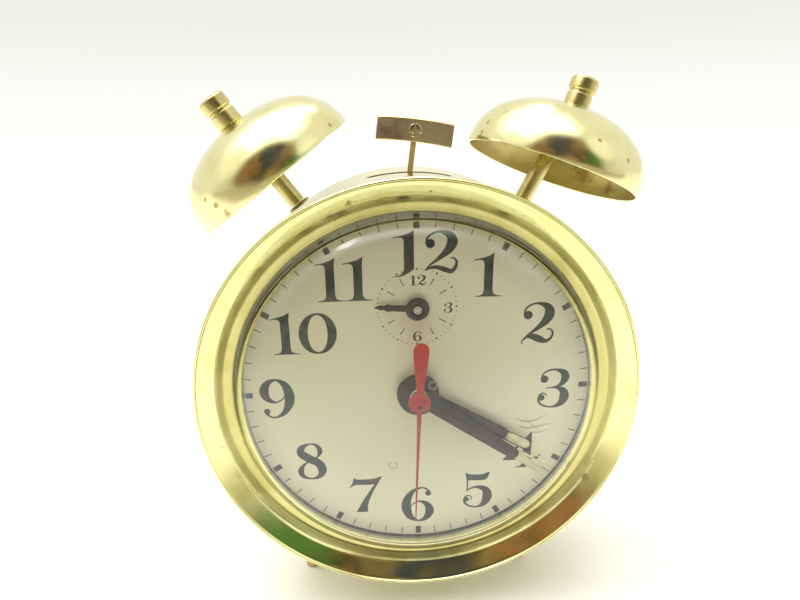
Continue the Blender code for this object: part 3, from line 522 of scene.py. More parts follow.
# ---------------------------------------------------------------- case, bezel, crystal
DRUM_R = 54.3
DRUM_BACK = edge("case_drum", 1, 1)
HAMMER_DEPTH = 26.0
SLOT_HALF = 12.0
SLOT_END_R = 1.6


def tilt_axis(lean, back):
    """Upward direction that leans lean degrees to the right and back degrees to the rear."""
    out, rear = math.radians(lean), math.radians(back)
    return Vector((math.sin(out) * math.cos(rear), math.sin(rear), math.cos(out) * math.cos(rear)))


BELLS = {
    "left": {"rim": Vector((-36.9, 26.0, 53.3)), "axis": tilt_axis(-37.3, 0.0)},
    "right": {"rim": Vector((40.1, 26.5, 53.75)), "axis": tilt_axis(21.5, 8.0)},
}
RIGHT_POST_AXIS = tilt_axis(28.5, 2.0)
RIGHT_BASE = Vector((31.4, 26.0, math.sqrt(DRUM_R ** 2 - 31.4 ** 2)))
LEFT_BASE = Vector((-30.5, 26.0, 44.9))
POST_R = 2.35


def make_drum():
    wall = 0.8
    profile = [(DRUM_R, -1.0, 0.2), (DRUM_R, DRUM_BACK - 0.2, 0.9), (DRUM_R - 0.9, DRUM_BACK, 0.5),
               (50.4, DRUM_BACK, 0.3), (50.4, DRUM_BACK - wall, 0.2), (DRUM_R - wall, DRUM_BACK - wall, 0.4),
               (DRUM_R - wall, -1.0, 0.2)]
    drum = piece("drum_shell", ring(profile, 200), DRUM_BRASS, "case", ["case_drum"])
    middle = SLOT_HALF - SLOT_END_R
    round_ends = circle(SLOT_END_R, 9, (middle, HAMMER_DEPTH), -math.pi / 2, math.pi)
    round_ends += circle(SLOT_END_R, 9, (-middle, HAMMER_DEPTH), math.pi / 2, math.pi)
    slot = slab([round_ends], -60, -48)
    bmesh.ops.rotate(slot, matrix=Matrix.Rotation(math.radians(-90), 3, "X"), verts=slot.verts)
    carved(drum, slot)


def make_bezel():
    sleeve = [(54.65, 3.5), (55.3, 3.5, 0.2), (55.5, -1.5), (55.8, -5.2, 0.5)]
    bead = [(56.65, -6.3, 0.4), (57.0, -7.2, 0.35), (56.85, -8.1, 0.4), (56.3, -8.3, 0.3),
            (56.0, -7.75, 0.15)]
    slope = [(55.55, -7.45, 0.3), (52.3, -4.95, 0.5), (50.5, -2.75, 0.4)]
    lip = [(49.5, -2.5, 0.2), (48.4, -2.3, 0.4), (48.0, -1.75, 0.2), (48.1, -1.5), (54.65, -1.45)]
    turning = ring(sleeve + bead + slope + lip, 256)
    piece("bezel_ring", turning, BEZEL_BRASS, "case", ["bezel"])


def make_crystal():
    outer = [(0, -13.6), (10, -13.5), (20, -13.1), (28, -12.45), (35, -11.5), (40, -10.5), (43.3, -9.2),
             (45.4, -7.6), (46.6, -5.6), (47.2, -3.4), (47.5, -1.15)]
    inner = [(46.3, -0.4), (45.9, -3.2), (45.3, -5.4), (44.1, -7.0), (42.2, -8.3), (39.2, -9.4), (34.3, -10.4),
             (27.6, -11.3), (20, -11.9), (10, -12.3), (0, -12.4)]
    flange = [(50.3, -1.15), (50.3, -0.4)]
    outer_curve = smooth_path(outer, 4)
    inner_curve = smooth_path(inner, 4)
    profile = [(r, -y) for r, y in outer_curve + flange + inner_curve]
    piece("crystal_dome", turned(profile, 192), GLASS, "case", ["crystal"])


# ---------------------------------------------------------------- dial and its printing
PRINT_LIFT = 0.03
PRINT_STEP = 0.0004
ALARM_AXIS = PIVOT["alarm_set_turn"]


class Print:
    """Flat marks on the dial, gathered into one mesh. Each mark lies a little above the last."""

    def __init__(self):
        self.bm = bmesh.new()
        self.level = PRINT_LIFT

    def strip(self, left, right, closed=False):
        """Ribbon between two equally long rows of (across, up) points."""
        rows = []
        for a, b in zip(left, right):
            rows.append([self.bm.verts.new((x, -self.level, z)) for x, z in (a, b)])
        pairs = list(zip(rows, rows[1:]))
        if closed:
            pairs.append((rows[-1], rows[0]))
        for (a, b), (c, d) in pairs:
            self.bm.faces.new((a, b, d, c))
        self.level += PRINT_STEP

    def stroke(self, points, closed=False):
        """Pen stroke through (across, up, half width) points."""
        path = smooth_path(points, 8, closed)
        left, right = [], []
        count = len(path)
        for i, (x, z, half) in enumerate(path):
            if closed:
                ahead, behind = path[(i + 1) % count], path[i - 1]
            else:
                ahead, behind = path[min(i + 1, count - 1)], path[max(i - 1, 0)]
            along = Vector((ahead[0] - behind[0], ahead[1] - behind[1])).normalized()
            left.append((x - along.y * half, z + along.x * half))
            right.append((x + along.y * half, z - along.x * half))
        self.strip(left, right, closed)

    def shape(self, outline):
        """Filled outline."""
        verts = [self.bm.verts.new((x, -self.level, z)) for x, z in outline]
        edges = [self.bm.edges.new(pair) for pair in zip(verts, verts[1:] + verts[:1])]
        bmesh.ops.triangle_fill(self.bm, use_beauty=True, edges=edges)
        self.level += PRINT_STEP

    def finish(self, name, material):
        for face in self.bm.faces:
            face.normal_update()
            if face.normal.y > 0:
                face.normal_flip()
        return piece(name, self.bm, material, "case")


def rotated(points, centre):
    """A stroke turned half round a centre."""
    return [(2 * centre[0] - x, 2 * centre[1] - y, half) for x, y, half in points]


# Figures in units of their own height, from the baseline up. A stroke lists (across, up, half width), a ball
# (across, up, radius) and a shape its outline.
SIX = {
    "strokes": [[(0.68, 0.87, 0.03), (0.58, 0.965, 0.022), (0.44, 0.98, 0.025), (0.25, 0.87, 0.06),
                 (0.12, 0.64, 0.105), (0.10, 0.40, 0.12), (0.19, 0.14, 0.085), (0.40, 0.005, 0.028),
                 (0.60, 0.09, 0.075), (0.69, 0.29, 0.11), (0.62, 0.49, 0.075), (0.44, 0.585, 0.024),
                 (0.28, 0.52, 0.016), (0.20, 0.42, 0.014)]],
    "balls": [(0.655, 0.82, 0.075)],
}
FIGURES = {
    "0": {"width": 0.86,
          "rings": [(0.43, 0.49, 0.33, 0.475, 0.022, 0.105)]},
    "1": {"width": 0.60,
          "shapes": [[(0.43, 1.02), (0.41, 0.85), (0.41, 0.15), (0.44, 0.06), (0.52, 0.025), (0.62, 0.018),
                      (0.62, 0.0), (0.02, 0.0), (0.02, 0.018), (0.11, 0.028), (0.18, 0.06), (0.21, 0.15),
                      (0.21, 0.78), (0.18, 0.845), (0.10, 0.865), (-0.03, 0.85), (-0.03, 0.87), (0.14, 0.90),
                      (0.30, 0.945)]]},
    "2": {"width": 0.76,
          "strokes": [[(0.075, 0.70, 0.02), (0.10, 0.84, 0.022), (0.23, 0.955, 0.022), (0.41, 0.98, 0.03),
                       (0.60, 0.90, 0.085), (0.665, 0.74, 0.12), (0.58, 0.55, 0.095), (0.39, 0.37, 0.05),
                       (0.17, 0.20, 0.022), (0.05, 0.06, 0.018), (0.045, -0.02, 0.012)],
                      [(0.07, 0.07, 0.008), (0.16, 0.16, 0.035), (0.29, 0.165, 0.075), (0.45, 0.10, 0.085),
                       (0.60, 0.05, 0.05), (0.725, 0.12, 0.03), (0.765, 0.26, 0.024), (0.70, 0.345, 0.018),
                       (0.62, 0.34, 0.02)]],
          "balls": [(0.165, 0.70, 0.105)]},
    "3": {"width": 0.74,
          "strokes": [[(0.085, 0.77, 0.02), (0.13, 0.89, 0.02), (0.28, 0.975, 0.022), (0.44, 0.98, 0.03),
                       (0.62, 0.90, 0.085), (0.66, 0.76, 0.10), (0.58, 0.61, 0.06), (0.44, 0.535, 0.022),
                       (0.21, 0.50, 0.012)],
                      [(0.28, 0.51, 0.012), (0.46, 0.505, 0.028), (0.63, 0.42, 0.09), (0.665, 0.25, 0.12),
                       (0.58, 0.09, 0.08), (0.40, 0.0, 0.026), (0.20, 0.02, 0.022), (0.06, 0.12, 0.026),
                       (0.03, 0.25, 0.02), (0.10, 0.36, 0.018), (0.20, 0.35, 0.014), (0.225, 0.28, 0.012)]],
          "balls": [(0.155, 0.74, 0.095), (0.10, 0.25, 0.085)]},
    "4": {"width": 0.86,
          "shapes": [[(0.66, 1.02), (0.66, 0.29), (0.80, 0.29), (0.88, 0.36), (0.90, 0.35), (0.84, 0.225),
                      (0.66, 0.225), (0.66, 0.12), (0.70, 0.04), (0.80, 0.018), (0.80, 0.0), (0.28, 0.0),
                      (0.28, 0.018), (0.40, 0.04), (0.45, 0.12), (0.45, 0.225), (-0.04, 0.225), (-0.04, 0.245)],
                     ],
          "holes": [[(0.45, 0.72), (0.45, 0.29), (0.10, 0.29)]]},
    "5": {"width": 0.72,
          "shapes": [[(0.07, 1.03), (0.13, 0.975), (0.30, 0.955), (0.50, 0.96), (0.66, 1.03), (0.67, 1.01),
                      (0.63, 0.88), (0.57, 0.80), (0.40, 0.785), (0.13, 0.80), (0.125, 0.50), (0.09, 0.47),
                      (0.09, 0.80), (0.06, 0.98)]],
          "strokes": [[(0.10, 0.485, 0.016), (0.22, 0.57, 0.024), (0.40, 0.59, 0.045), (0.58, 0.49, 0.095),
                       (0.62, 0.30, 0.12), (0.54, 0.10, 0.08), (0.38, 0.005, 0.026), (0.20, 0.02, 0.022),
                       (0.06, 0.12, 0.026), (0.03, 0.24, 0.02), (0.09, 0.335, 0.018), (0.19, 0.33, 0.014),
                       (0.22, 0.26, 0.012), (0.17, 0.21, 0.01)]],
          "balls": [(0.085, 0.23, 0.07)]},
    "6": {"width": 0.80, **SIX},
    "7": {"width": 0.76,
          "shapes": [[(0.11, 1.02), (0.17, 0.965), (0.40, 0.955), (0.62, 0.975), (0.80, 1.04), (0.80, 1.01),
                      (0.58, 0.60), (0.48, 0.36), (0.43, 0.16), (0.43, 0.0), (0.13, 0.0), (0.21, 0.13),
                      (0.33, 0.36), (0.48, 0.60), (0.62, 0.815), (0.48, 0.80), (0.16, 0.81), (0.08, 0.78),
                      (0.01, 0.72), (0.0, 0.74), (0.07, 0.87)]]},
    "8": {"width": 0.76,
          "loops": [[(0.38, 0.985, 0.02), (0.18, 0.90, 0.07), (0.145, 0.74, 0.10), (0.34, 0.575, 0.105),
                     (0.56, 0.44, 0.105), (0.64, 0.24, 0.105), (0.56, 0.075, 0.06), (0.37, 0.01, 0.022),
                     (0.17, 0.075, 0.05), (0.11, 0.23, 0.075), (0.20, 0.41, 0.035), (0.38, 0.52, 0.016),
                     (0.53, 0.62, 0.022), (0.605, 0.77, 0.06), (0.54, 0.93, 0.045)]]},
    "9": {"width": 0.80,
          "strokes": [rotated(s, (0.385, 0.49)) for s in SIX["strokes"]],
          "balls": [(0.115, 0.16, 0.075)]},
}


def draw_figure(target, figure, x, z, height, width_scale=1.0):
    """One figure with its lower left corner at (x, z)."""
    def put(point):
        return (x + point[0] * height * width_scale, z + point[1] * height, *(v * height for v in point[2:]))

    shape = FIGURES[figure]
    holes = shape.get("holes", [])
    for outline in shape.get("shapes", []):
        if holes:
            fill_with_hole(target, [put(p) for p in outline], [put(p) for p in holes[0]])
        else:
            target.shape([put(p) for p in outline])
    for points in shape.get("strokes", []):
        target.stroke([put(p) for p in points])
    for points in shape.get("loops", []):
        target.stroke([put(p) for p in points], closed=True)
    for cx, cz, wide, tall, thin, thick in shape.get("rings", []):
        turns = [2 * math.pi * k / 40 for k in range(40)]
        loop = []
        for t in turns:
            half = thin + (thick - thin) * abs(math.cos(t)) ** 1.6
            loop.append(put((cx + wide * math.cos(t), cz + tall * math.sin(t), half)))
        target.stroke(loop, closed=True)
    for cx, cz, radius in shape.get("balls", []):
        a, b, r = put((cx, cz, radius))
        target.shape(circle(r, 20, (a, b)))


def fill_with_hole(target, outer, inner):
    """Filled outline with one hole in it."""
    loops = []
    for outline in (outer, inner):
        loop = [target.bm.verts.new((p[0], -target.level, p[1])) for p in outline]
        loops += [target.bm.edges.new(pair) for pair in zip(loop, loop[1:] + loop[:1])]
    bmesh.ops.triangle_fill(target.bm, use_beauty=True, edges=loops)
    target.level += PRINT_STEP


def draw_number(target, text, centre, height, gap=0.05, width_scale=1.0):
    """A number centred on (across, up)."""
    widths = [FIGURES[c]["width"] * height * width_scale for c in text]
    total = sum(widths) + gap * height * (len(text) - 1)
    x = centre[0] - total / 2
    for figure, width in zip(text, widths):
        draw_figure(target, figure, x, centre[1] - height / 2, height, width_scale)
        x += width + gap * height


NUMERAL_R = 36.0
NUMERAL_HEIGHT = 11.2
# (radius, clockwise degrees) of the numerals that stand a little off their hour.
NUMERAL_PLACES = {3: (36.5, 91.3), 4: (35.0, 124.0), 5: (36.2, 152.4), 7: (35.5, 204.8), 8: (35.9, 234.9),
                  9: (37.0, 268.4), 10: (33.6, 300.4), 11: (36.0, 329.4)}
TICK_INNER = 43.9
TICK_OUTER = 45.95
SUBDIAL_DOTS_R = 10.1


def make_dial():
    disc = [(3.4, 0.6), (3.4, 0.05, 0.1), (3.7, 0.0, 0.1), (50.3, 0.0, 0.1), (50.3, 0.6)]
    dial = piece("dial_plate", ring(disc, 160), DIAL_PAINT, "case", ["dial"])
    hole = slab([circle(1.5, 24, (ALARM_AXIS.x, ALARM_AXIS.z))], -1, 2)
    carved(dial, hole)

    ink = Print()
    for hour in range(1, 12):
        radius, angle = NUMERAL_PLACES.get(hour, (NUMERAL_R, hour * 30.0))
        draw_number(ink, str(hour), clockwise((0, radius), angle), NUMERAL_HEIGHT, 0.02)
    make_twelve(ink)
    low, high = TICK_INNER - 0.3, TICK_OUTER + 0.2
    for hour in range(12):
        corners = [(-0.75, low), (0.75, low), (0.75, high), (-0.75, high)]
        ink.shape([clockwise(p, hour * 30) for p in corners])
    ink.finish("dial_numerals", INK)

    faint = Print()
    for minute in range(60):
        if minute % 5:
            corners = [(-0.14, TICK_INNER), (0.14, TICK_INNER), (0.14, high), (-0.14, high)]
            faint.shape([clockwise(p, minute * 6) for p in corners])
    faint.finish("minute_ticks", FAINT_INK)
    make_subdial()
    make_dial_marks()


def make_dial_marks():
    """Loose flakes of luminous paint right of the hands and a faint round stain at the lower left."""
    stain = Print()
    loop = [(-6.9 + 1.15 * math.cos(t), -22.9 + 1.0 * math.sin(t), 0.17 + 0.06 * math.sin(3 * t))
            for t in [math.pi * k / 8 for k in range(16)]]
    stain.stroke(loop, closed=True)
    stain.finish("round_stain", STAIN)
    flakes = Print()
    for flake in (((26.5, -9.4, 0.05), (29.0, -10.6, 0.22), (32.0, -10.4, 0.2), (35.4, -8.7, 0.05)),
                  ((27.6, -11.7, 0.05), (30.0, -12.7, 0.25), (33.4, -12.2, 0.22), (37.0, -11.4, 0.05)),
                  ((29.4, -9.5, 0.04), (31.2, -11.6, 0.16), (33.8, -13.6, 0.05)),
                  ((30.5, -13.9, 0.05), (33.3, -14.2, 0.2), (36.3, -13.2, 0.04))):
        flakes.stroke(flake)
    flakes.finish("loose_flakes", STAIN)


def make_twelve(target):
    """The 12, whose foot is cut round to clear the alarm dial."""
    cx, low, h = -0.9, 37.4 - NUMERAL_HEIGHT / 2, NUMERAL_HEIGHT
    one = [(-0.43, 1.02), (-0.43, 0.14), (-0.52, 0.07), (-0.66, -0.01), (-0.76, -0.04), (-0.88, -0.035),
           (-0.88, -0.018), (-0.77, -0.012), (-0.70, 0.04), (-0.655, 0.13), (-0.655, 0.80), (-0.69, 0.85),
           (-0.76, 0.865), (-0.90, 0.85), (-0.90, 0.87), (-0.73, 0.90), (-0.56, 0.95)]
    target.shape([(cx + (x + 0.45) * h, low + z * h) for x, z in one])
    two = FIGURES["2"]
    left, foot = cx + 0.22 * h, low + 0.04 * h

    def put(x, z, half):
        return (left + x * h * 0.98, foot + z * h * 0.95, half * h)

    target.stroke([put(*p) for p in two["strokes"][0][:-1]])
    target.stroke([put(*p) for p in ((0.05, 0.055, 0.006), (0.16, 0.12, 0.03), (0.32, 0.135, 0.045),
                                     (0.50, 0.075, 0.06), (0.64, 0.03, 0.05), (0.735, 0.12, 0.04),
                                     (0.765, 0.26, 0.028), (0.70, 0.345, 0.018), (0.63, 0.34, 0.014))])
    for x, z, r in two["balls"]:
        a, b, radius = put(x, z, r)
        target.shape(circle(radius, 20, (a, b)))


def make_subdial():
    centre = (ALARM_AXIS.x, ALARM_AXIS.z)

    def at(point, degrees):
        x, z = clockwise(point, degrees)
        return (centre[0] + x, centre[1] + z)

    ink = Print()
    for mark in range(48):
        radius = 0.26 if mark % 4 == 0 else 0.15
        ink.shape(circle(radius, 12, at((0, SUBDIAL_DOTS_R), mark * 7.5)))
    for hour in (1, 2, 4, 5, 7, 8, 10, 11):
        corners = [(-0.1, 6.5), (0.1, 6.5), (0.13, 8.6), (-0.13, 8.6)]
        ink.shape([at(p, hour * 30) for p in corners])
    for text, x, z in (("12", 0.2, 7.1), ("3", 7.9, -0.4), ("6", 0.1, -8.0)):
        draw_number(ink, text, (centre[0] + x, centre[1] + z), 2.7, 0.05, 1.05)
    ink.finish("alarm_dial_print", INK)


# ---------------------------------------------------------------- hands
HOUR_ANGLE = 119.2
MINUTE_ANGLE = 125.2
SECOND_ANGLE = 182.0
ALARM_ANGLE = 273.6


def ridged_blade(half_widths, depth, thickness, ridge, degrees, centre=(0, 0)):
    """Blade with a ridge along its middle, from (reach, half width) points, pointing clockwise by degrees."""
    bm = bmesh.new()
    rows = []
    for reach, half in half_widths:
        row = []
        section = ((-half, 0.0), (0.0, ridge), (half, 0.0), (half, -thickness), (-half, -thickness))
        for across, rise in section:
            x, z = clockwise((across, reach), degrees)
            row.append(bm.verts.new((centre[0] + x, depth - rise, centre[1] + z)))
        rows.append(row)
    for a, b in zip(rows, rows[1:]):
        for k in range(5):
            m = (k + 1) % 5
            bm.faces.new((a[k], a[m], b[m], b[k]))
    bm.faces.new(rows[0])
    bm.faces.new(rows[-1])
    bmesh.ops.recalc_face_normals(bm, faces=bm.faces)
    return bm


def pillow(half_widths, depth, height, degrees):
    """Rounded blob of luminous paint along a hand."""
    bm = bmesh.new()
    rows = []
    full = half_widths[len(half_widths) // 2][1]
    section = [math.pi * k / 8 for k in range(9)]
    for reach, half in half_widths:
        row = []
        for t in section:
            x, z = clockwise((-half * math.cos(t), reach), degrees)
            swell = height * math.sin(t) * min(1.0, half / full + 0.2)
            row.append(bm.verts.new((x, depth - swell, z)))
        rows.append(row)
    for a, b in zip(rows, rows[1:]):
        for k in range(8):
            bm.faces.new((a[k], a[k + 1], b[k + 1], b[k]))
    for a, b in zip(rows, rows[1:]):
        bm.faces.new((a[0], b[0], b[8], a[8]))
    bmesh.ops.recalc_face_normals(bm, faces=bm.faces)
    return bm


def hub(inner, outer, front, back, at=(0, 0), dome=0.25):
    """Domed collar of a hand."""
    profile = [(inner, -back), (inner, -front, 0.1), ((inner + outer) / 2, -front + dome, 0.6),
               (outer, -front, 0.25), (outer, -back, 0.1)]
    return turned(softened(profile), 64, (at[0], 0, at[1]))


def make_hour_hand():
    blade = ridged_blade([(4.6, 2.0), (15, 1.95), (26.4, 1.75), (27.4, 1.2)], -2.3, 0.3, 0.5, HOUR_ANGLE)
    whole = joined(hub(3.1, 5.6, -2.5, -2.1), blade)
    piece("hour_blade", whole, HAND_BLACK, "hours", ["hour_hand"])
    rails = [ridged_blade([(26.6, 0.16), (33.6, 0.10), (35.0, 0.06)], -2.3, 0.15, 0.03, HOUR_ANGLE + s * 2.6)
             for s in (-1, 1)]
    piece("hour_tip_frame", joined(*rails), HAND_BLACK, "hours")
    lume = []
    for k in range(17):
        rounding = math.sqrt(max(0.0, 1 - abs(k / 8 - 1) ** 5))
        lume.append((27.2 + 7.6 * k / 16, 1.35 * rounding + 0.03))
    piece("hour_lume", pillow(lume, -2.25, 0.4, HOUR_ANGLE), LUME, "hours")


def make_minute_hand():
    blade = ridged_blade([(4.4, 2.15), (16, 2.0), (31.4, 1.6), (32.6, 1.15)], -3.85, 0.3, 0.7, MINUTE_ANGLE)
    collar = hub(2.15, 5.35, -4.05, -3.6)
    piece("minute_blade", joined(collar, blade), HAND_BLACK, "minutes", ["minute_hand"])
    lume = []
    for k in range(15):
        taper = (1.3 - 0.55 * k / 14) * min(1.0, 0.6 + k / 5) * min(1.0, (14 - k) / 3)
        lume.append((32.0 + 11.3 * k / 14, max(0.08, taper)))
    piece("minute_lume", pillow(lume, -3.8, 0.55, MINUTE_ANGLE), LUME, "minutes")
    flakes = []
    # Each splinter is its turn from the hand in degrees, its start, length and half width.
    splinters = ((-2.6, 33.4, 9.4, 0.40), (-4.4, 35.6, 7.2, 0.20), (1.7, 36.5, 6.4, 0.16))
    for turn, start, length, width in splinters:
        splinter = [(start + length * k / 8, width * (1 - k / 8) + 0.05) for k in range(9)]
        flakes.append(pillow(splinter, -3.7, 0.15, MINUTE_ANGLE + turn))
    piece("minute_lume_splinters", joined(*flakes), LUME, "minutes")
    x, z = clockwise((0, 4.9), 49)
    rivet = [(0.75, 4.0), (0.8, 4.35, 0.1), (1.0, 4.5, 0.15), (1.25, 4.35, 0.1), (1.3, 4.0)]
    piece("minute_rivet", turned(softened(rivet), 32, (x, 0, z)), DULL_METAL, "minutes")


def make_second_hand():
    paddle = [(2.2, 1.0), (5, 1.05), (9, 1.55), (12.5, 1.9), (14.6, 1.93), (15.6, 1.55), (16.1, 1.0),
              (16.35, 0.3)]
    tail = ridged_blade(smooth_path(paddle, 4), -7.65, 0.25, 0.12, SECOND_ANGLE + 180)
    needle = ridged_blade([(2.2, 0.6), (10, 0.42), (35.3, 0.14)], -7.65, 0.25, 0.12, SECOND_ANGLE)
    collar = hub(0.8, 2.85, -7.85, -7.4, dome=0.12)
    cone = [(0.62, 7.6), (0.62, 9.95, 0.1), (0.95, 9.85, 0.25), (1.2, 8.6, 0.3), (1.5, 7.6)]
    boss = turned(softened(cone), 48)
    whole = joined(tail, needle, collar, boss)
    piece("seconds_needle", whole, RED, "seconds", ["second_hand"])
    pin = turned(softened([(0, 10.0), (0.4, 10.0, 0.1), (0.6, 9.95, 0.05), (0.6, 9.92), (0, 9.92)]), 32)
    piece("seconds_pin", pin, DARK, "seconds")


def make_alarm_hand():
    centre = (ALARM_AXIS.x, ALARM_AXIS.z)
    outline = [(2.4, 0.85), (6.3, 0.75), (6.9, 0.8), (7.4, 1.0), (7.9, 0.8), (8.3, 0.55), (9.2, 0.62),
               (9.9, 0.45), (10.9, 0.06)]
    blade = ridged_blade(outline, -1.8, 0.3, 0.2, ALARM_ANGLE, centre)
    collar = hub(1.25, 3.05, -2.05, -1.6, centre, 0.3)
    piece("alarm_pointer", joined(blade, collar), ALARM_BLACK, "alarm_setting", ["alarm_hand"])
    end = softened([(0, 2.8), (0.3, 2.8, 0.1), (0.55, 3.0, 0.2), (0.95, 2.75, 0.2), (1.1, 2.2), (1.1, -1.0),
                    (0, -1.0)])
    piece("alarm_arbor_end", turned(end, 32, (centre[0], 0, centre[1])), DULL_METAL, "alarm_setting")


def make_hand_hubs():
    """The tubes that carry the hands, seen inside one another in the middle of the dial."""
    minute = softened([(1.6, 4.9), (1.7, 5.1, 0.1), (2.3, 5.1, 0.25), (2.5, 4.6, 0.1), (2.5, 3.7),
                       (1.6, 3.7)])
    piece("minute_tube_end", turned(minute, 48), PALE_METAL, "minutes")
    hour = softened([(2.6, 3.4), (3.3, 3.4, 0.15), (3.4, 2.2), (2.6, 2.2)])
    piece("hour_tube_end", turned(hour, 48), PALE_METAL, "hours")


# ---------------------------------------------------------------- bells and their posts
BELL_R = 25.0
BELL_HEIGHT = 18.0
BELL_UNDERSIDE = 16.7
BELL_HOLE_R = 1.9


def bell_curve(radius, height):
    """Quarter of a superellipse from the crown hole out to the rim."""
    power = 2.3
    steps = 22
    start = math.acos((BELL_HOLE_R / radius) ** (power / 2))
    points = []
    for k in range(steps + 1):
        angle = start * (1 - k / steps)
        points.append((radius * math.cos(angle) ** (2 / power), height * math.sin(angle) ** (2 / power)))
    return points


def make_bells():
    outer = bell_curve(BELL_R, BELL_HEIGHT)
    middle = bell_curve(24.3, 17.3)
    inner = bell_curve(24.2, 17.2)
    lip = [(24.93, -0.12), (24.65, -0.2), (24.4, -0.12)]
    for side, bell in BELLS.items():
        shell = turned(outer + lip + middle[::-1], 160, bell["rim"], bell["axis"])
        piece("bell_shell_" + side, shell, BELL_BRASS, "case", ["bell_" + side])
        lining = turned(middle + inner[::-1], 128, bell["rim"], bell["axis"])
        piece("bell_lining_" + side, lining, LINING_BRASS, "case")
        crown = bell["rim"] + bell["axis"] * BELL_HEIGHT
        knurl = [(0, 8.85), (2.9, 8.85, 1.0), (3.85, 8.3, 0.5), (3.85, 5.2, 0.35), (3.6, 4.85, 0.2)]
        neck = [(3.15, 4.75, 0.1), (3.15, 4.25, 0.1), (3.45, 4.1, 0.2)]
        nut = knurl + neck + [(3.6, 3.8, 0.2), (3.6, 0.6, 0.25), (3.4, 0.15, 0.1), (0, 0.15)]
        knob = turned(softened(nut), 72, crown, bell["axis"])
        piece("bell_nut_turned_" + side, knob, TRIM_BRASS, "case", ["bell_nut_" + side])


def make_posts():
    left, right = BELLS["left"], BELLS["right"]
    under = left["rim"] + left["axis"] * BELL_UNDERSIDE
    start = LEFT_BASE + left["axis"] * 1.9
    piece("post_left_rod", tube([start, under], [POST_R] * 2, 40), TRIM_BRASS, "case",
          ["bell_post_left"])
    first = RIGHT_BASE + RIGHT_POST_AXIS * 1.9
    bend = RIGHT_BASE + RIGHT_POST_AXIS * 12.0
    top = right["rim"] + right["axis"] * BELL_UNDERSIDE
    near_top = top - right["axis"] * 4.5
    knots = [first, first.lerp(bend, 0.6), bend, bend.lerp(near_top, 0.5), near_top, top]
    path = [Vector(p) for p in smooth_path([tuple(k) for k in knots], 6)]
    piece("post_right_rod", tube(path, [POST_R] * len(path), 40), TRIM_BRASS, "case",
          ["bell_post_right"])
    washer = softened([(2.0, 0.0), (3.3, 0.0, 0.15), (3.5, 0.25, 0.15), (3.3, 0.75, 0.2), (2.0, 0.8)])
    for side, base, axis in (("left", LEFT_BASE, left["axis"]), ("right", RIGHT_BASE, RIGHT_POST_AXIS)):
        collar = turned(washer, 56, base + axis * 0.85, axis)
        piece("post_collar_" + side, collar, TRIM_BRASS, "case", ["post_washer_" + side])


# ---------------------------------------------------------------- hammer
HAMMER = PIVOT["hammer_swing"]
HAMMER_LEAN = 7.5
HAMMER_RISE = 40.0
HEAD_WIDTH = 21.0
HEAD_HEIGHT = 6.2
HEAD_THICK = 4.0


def make_hammer():
    lean = math.radians(HAMMER_LEAN)
    across = Vector((math.cos(lean), 0, -math.sin(lean)))
    along = Vector((math.sin(lean), 0, math.cos(lean)))

    def head_point(u, v):
        point = across * u + along * v
        return (HAMMER.x + point.x, HAMMER.z + point.z)

    steps = [k / 10 - 1 for k in range(21)]
    high, low = HAMMER_RISE + HEAD_HEIGHT / 2, HAMMER_RISE - HEAD_HEIGHT / 2
    top = [head_point(s * HEAD_WIDTH / 2, high - 0.5 * s * s) for s in steps]
    bottom = [head_point(s * HEAD_WIDTH / 2, low - 0.5 * s * s) for s in reversed(steps)]
    front = HAMMER_DEPTH - HEAD_THICK / 2
    head = piece("hammer_block", slab([top + bottom], front, front + HEAD_THICK), HAMMER_TARNISH_AND_PAINTED_REFLECTION, "hammer",
                 ["hammer_head"])
    # The rounded edges take the lighter trim brass: a painted highlight round the head's outline.
    head.data.materials.append(TRIM_BRASS)
    bevelled(head, 0.4, 4).modifiers["bevel"].material = 1
    middle = Vector((HAMMER.x, 0, HAMMER.z)) + along * HAMMER_RISE
    stud = softened([(0, 0.5), (1.3, 0.42, 0.3), (1.85, 0.15, 0.2), (1.9, -0.3), (0, -0.3)])
    stud_piece = piece("hammer_stud", turned(stud, 48, (middle.x, front, middle.z)), HAMMER_TARNISH_AND_PAINTED_REFLECTION, "hammer",
                       ["hammer_screw"])
    slot = rectangle(middle.x, middle.z, 0.3, 3)
    carved(stud_piece, slab([slot], front - 2, front - 0.15))
    half = 0.75
    foot, end = 2.6, HAMMER_RISE - HEAD_HEIGHT / 2 - 0.1
    corners = [head_point(u, v) for u, v in ((-half, foot), (half, foot), (half, end), (-half, end))]
    rod = slab([corners], HAMMER_DEPTH - half, HAMMER_DEPTH + half)
    wire = piece("hammer_wire", rod, TRIM_BRASS, "hammer", ["hammer_rod"])
    bevelled(wire, 0.2, 3)


# ---------------------------------------------------------------- feet
FOOT_REACH = 32.8


def make_feet():
    for name in ("foot_left", "foot_right", "foot_rear"):
        low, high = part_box(name)
        depth = ((low.y + high.y) / 2 - DIAL.y) / MM
        across = 0.0 if name == "foot_rear" else math.copysign(FOOT_REACH, low.x - DIAL.x)
        outward = Vector((across, 0, TABLE_HEIGHT)).normalized()
        shoulder = Vector((0, depth, 0)) + outward * (DRUM_R + 0.35)
        sole = Vector((across, depth, TABLE_HEIGHT))
        knots = [(0.0, 2.4), (0.03, 2.65), (0.12, 2.7), (0.5, 2.5), (0.92, 2.3), (1.0, 2.1)]
        path = [shoulder.lerp(sole, t) for t, _ in knots]
        leg = tube(path, [r for _, r in knots], 48)
        for vert in leg.verts:
            if (vert.co - sole).length < 2.5:
                vert.co.z = TABLE_HEIGHT
        piece(name + "_turned", leg, TRIM_BRASS, "case", [name])


